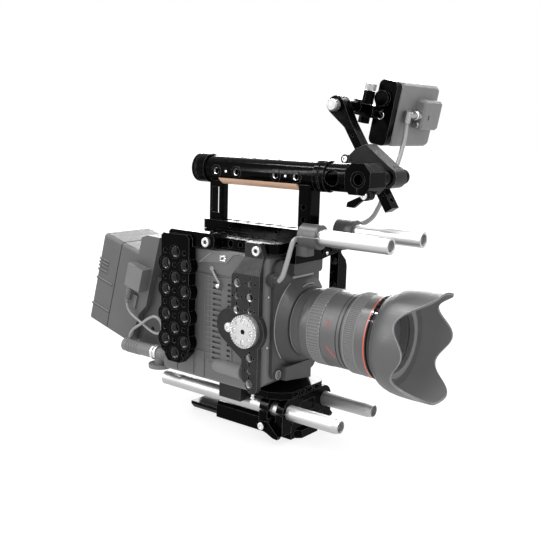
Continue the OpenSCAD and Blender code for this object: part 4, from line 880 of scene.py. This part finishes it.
def add_battery():
    """Ridges on the battery's side, paler as a painted highlight, each with a dark bar of painted shadow
    beneath it, in its own axes: short ones above and long ones below.
    """
    side_y, back_x = node_box("battery_case")[0].y, -60.5
    short_end, short_half, long_half, height = -45, 0.6, 0.7, 0.6
    short_places, long_places = (-27, -31, -35, -40), ((-50.5, -33), (-83, -31))
    ridges = [(z, short_end, short_half) for z in short_places]
    ridges += [(z, end, long_half) for z, end in long_places]
    bars = [on_side(rectangle((back_x, end), (z - half, z + half)), side_y, height)
            for z, end, half in ridges]
    # The ridges' paler look is a painted highlight on their lit tops
    add("battery_ridges", "battery", "grey_plastic", bars, look="cover_shell", place=BATTERY, bevel=0.2)
    # Dark bars under the ridges: painted shadow
    shadow_low, shadow_high, shadow_height = -2.2, -0.8, 0.25
    painted_shade_lines = [on_side(rectangle((back_x, end), (z + shadow_low, z + shadow_high)), side_y, shadow_height)
               for z, end, _ in ridges]
    add("battery_shadow_lines", "battery", "grey_plastic", painted_shade_lines, look="front_shell", place=BATTERY)


def add_battery_plugs():
    """Ribs on the power cable's relief and plug, and the plug's metal collar."""
    relief_at, root, crest, half = (2.5, -44, 0), 3.4, 3.9, 0.6
    ribs = []
    for z in range(-50, -36, 3):
        profile = [(z - half, 0), (z - half, root), (z, crest), (z + half, root), (z + half, 0)]
        ribs.append(turned(profile, relief_at, UP, steps=28))
    add("relief_ribs", "rig", "plug_plastic", ribs, place=BATTERY)
    plug_at, inner, rib_width = (0, -46, 61.5), 6, 1.8
    plug_ribs = [ring(plug_at, TO_FRONT, start, start + rib_width, inner, outer=7.8)
                 for start in range(-144, -127, 4)]
    add("power_plug_ribs", "rig", "plug_plastic", plug_ribs)
    collar = [ring(plug_at, TO_FRONT, start, end, inner, outer=8.2, chamfer=0.5)
              for start, end in ((-105, -101.4), (-100.6, -97))]
    add("power_plug_collar", "rig", "steel", collar)


def add_monitor():
    """Details on the monitor's back and bracket, in the monitor's own axes."""
    slit = on_front(rectangle((150.4, 151.8), (-3.3, 1.7)), x=47, thick=0.4)
    add("box_slit", "monitor", "grey_plastic", [slit], look="seam", place=MONITOR)
    coupling_at, ring_width = (40.5, 0, 0), 1.2
    coupling = [ring(coupling_at, TO_LEFT, start, start + ring_width, inner=3, outer=4.6)
                for start in (131, 132.6)]
    add("cable_coupling", "monitor", "steel", coupling, place=MONITOR)
    profile = [(-2, 0), (-2, 3.4), (2.2, 3.4), (2.8, 2.8), (2.8, 1.7), (1.2, 1.4), (1.2, 0)]
    socket = turned(profile, (41, 139, -9.5), TO_SIDE, steps=28)
    add("box_socket", "monitor", "steel", [socket], look="knob_metal", place=MONITOR)
    rim = ring((22.3, 93, -4.2), TO_SIDE, start=-0.3, end=0.5, inner=3.2, outer=4.3)
    add("bracket_ring_screw", "monitor", "steel", [rim], place=MONITOR)


add_rod_plugs()
add_plate_threads()
add_honeycomb_threads()
add_plate_screws()
add_side_cover()
add_side_pull()
add_vent_trim()
add_side_boss()
add_left_side()
add_camera_front()
add_lens_grips()
add_lens_band()
add_lens_front()
add_handle()
add_base()
add_battery()
add_battery_plugs()
add_monitor()

# Floor, world and lights, in metres
FLOOR_HALF, FLOOR_Z = 12, -0.0004


def add_floor():
    """Pale paper that glows a little, so that it stays even under the rig."""
    mesh = bpy.data.meshes.new("floor")
    corners = [(x, y, 0) for x, y in rectangle((-FLOOR_HALF, FLOOR_HALF), (-FLOOR_HALF, FLOOR_HALF))]
    mesh.from_pydata(corners, [], [(0, 1, 2, 3)])
    floor = bpy.data.objects.new("floor", mesh)
    floor.location.z = FLOOR_Z
    bpy.context.scene.collection.objects.link(floor)
    paper = Shader("floor_paper", (0.35, 0.35, 0.35), 0.85, shine=0.1)
    paper.mottle(scale=3, amount=0.01).uneven(scale=8, spread=0.05)
    paper.set("Emission Color", (1, 1, 1, 1)).set("Emission Strength", 0.78)
    mesh.materials.append(paper.mat)


def add_world():
    world = bpy.data.worlds.new("studio")
    bpy.context.scene.world = world
    world.use_nodes = True
    sky = world.node_tree.nodes["Background"]
    sky.inputs["Color"].default_value = (1, 1, 1, 1)
    sky.inputs["Strength"].default_value = 1.0


def add_light(name, place, target, size, power):
    """A lamp that shows in gloss alone: the even light comes from the world and the floor."""
    data = bpy.data.lights.new(name, "AREA")
    data.shape = "RECTANGLE"
    data.size, data.size_y = size
    data.energy = power
    light = bpy.data.objects.new(name, data)
    bpy.context.scene.collection.objects.link(light)
    light.location = place
    light.visible_diffuse = False
    light.visible_camera = False
    light.rotation_euler = (Vector(target) - Vector(place)).to_track_quat("-Z", "Y").to_euler()


add_floor()
add_world()
add_light("top_strip", place=(0, -0.25, 1.3), target=(0, 0, 0.2), size=(1.6, 0.06), power=45)
add_light("side_strip", place=(-0.75, -1.0, 0.75), target=(0, 0, 0.18), size=(0.06, 1.0), power=15)
add_light("front_strip", place=(1.3, -0.15, 0.75), target=(0, 0, 0.2), size=(0.06, 1.0), power=15)
add_light("back_card", place=(-1.0, 1.3, 0.6), target=(0, 0, 0.2), size=(1.8, 0.35), power=30)
add_light("back_strip", place=(-0.1, 1.1, 1.1), target=(0, 0, 0.25), size=(1.4, 0.06), power=20)
bpy.context.scene.view_settings.view_transform = "Standard"
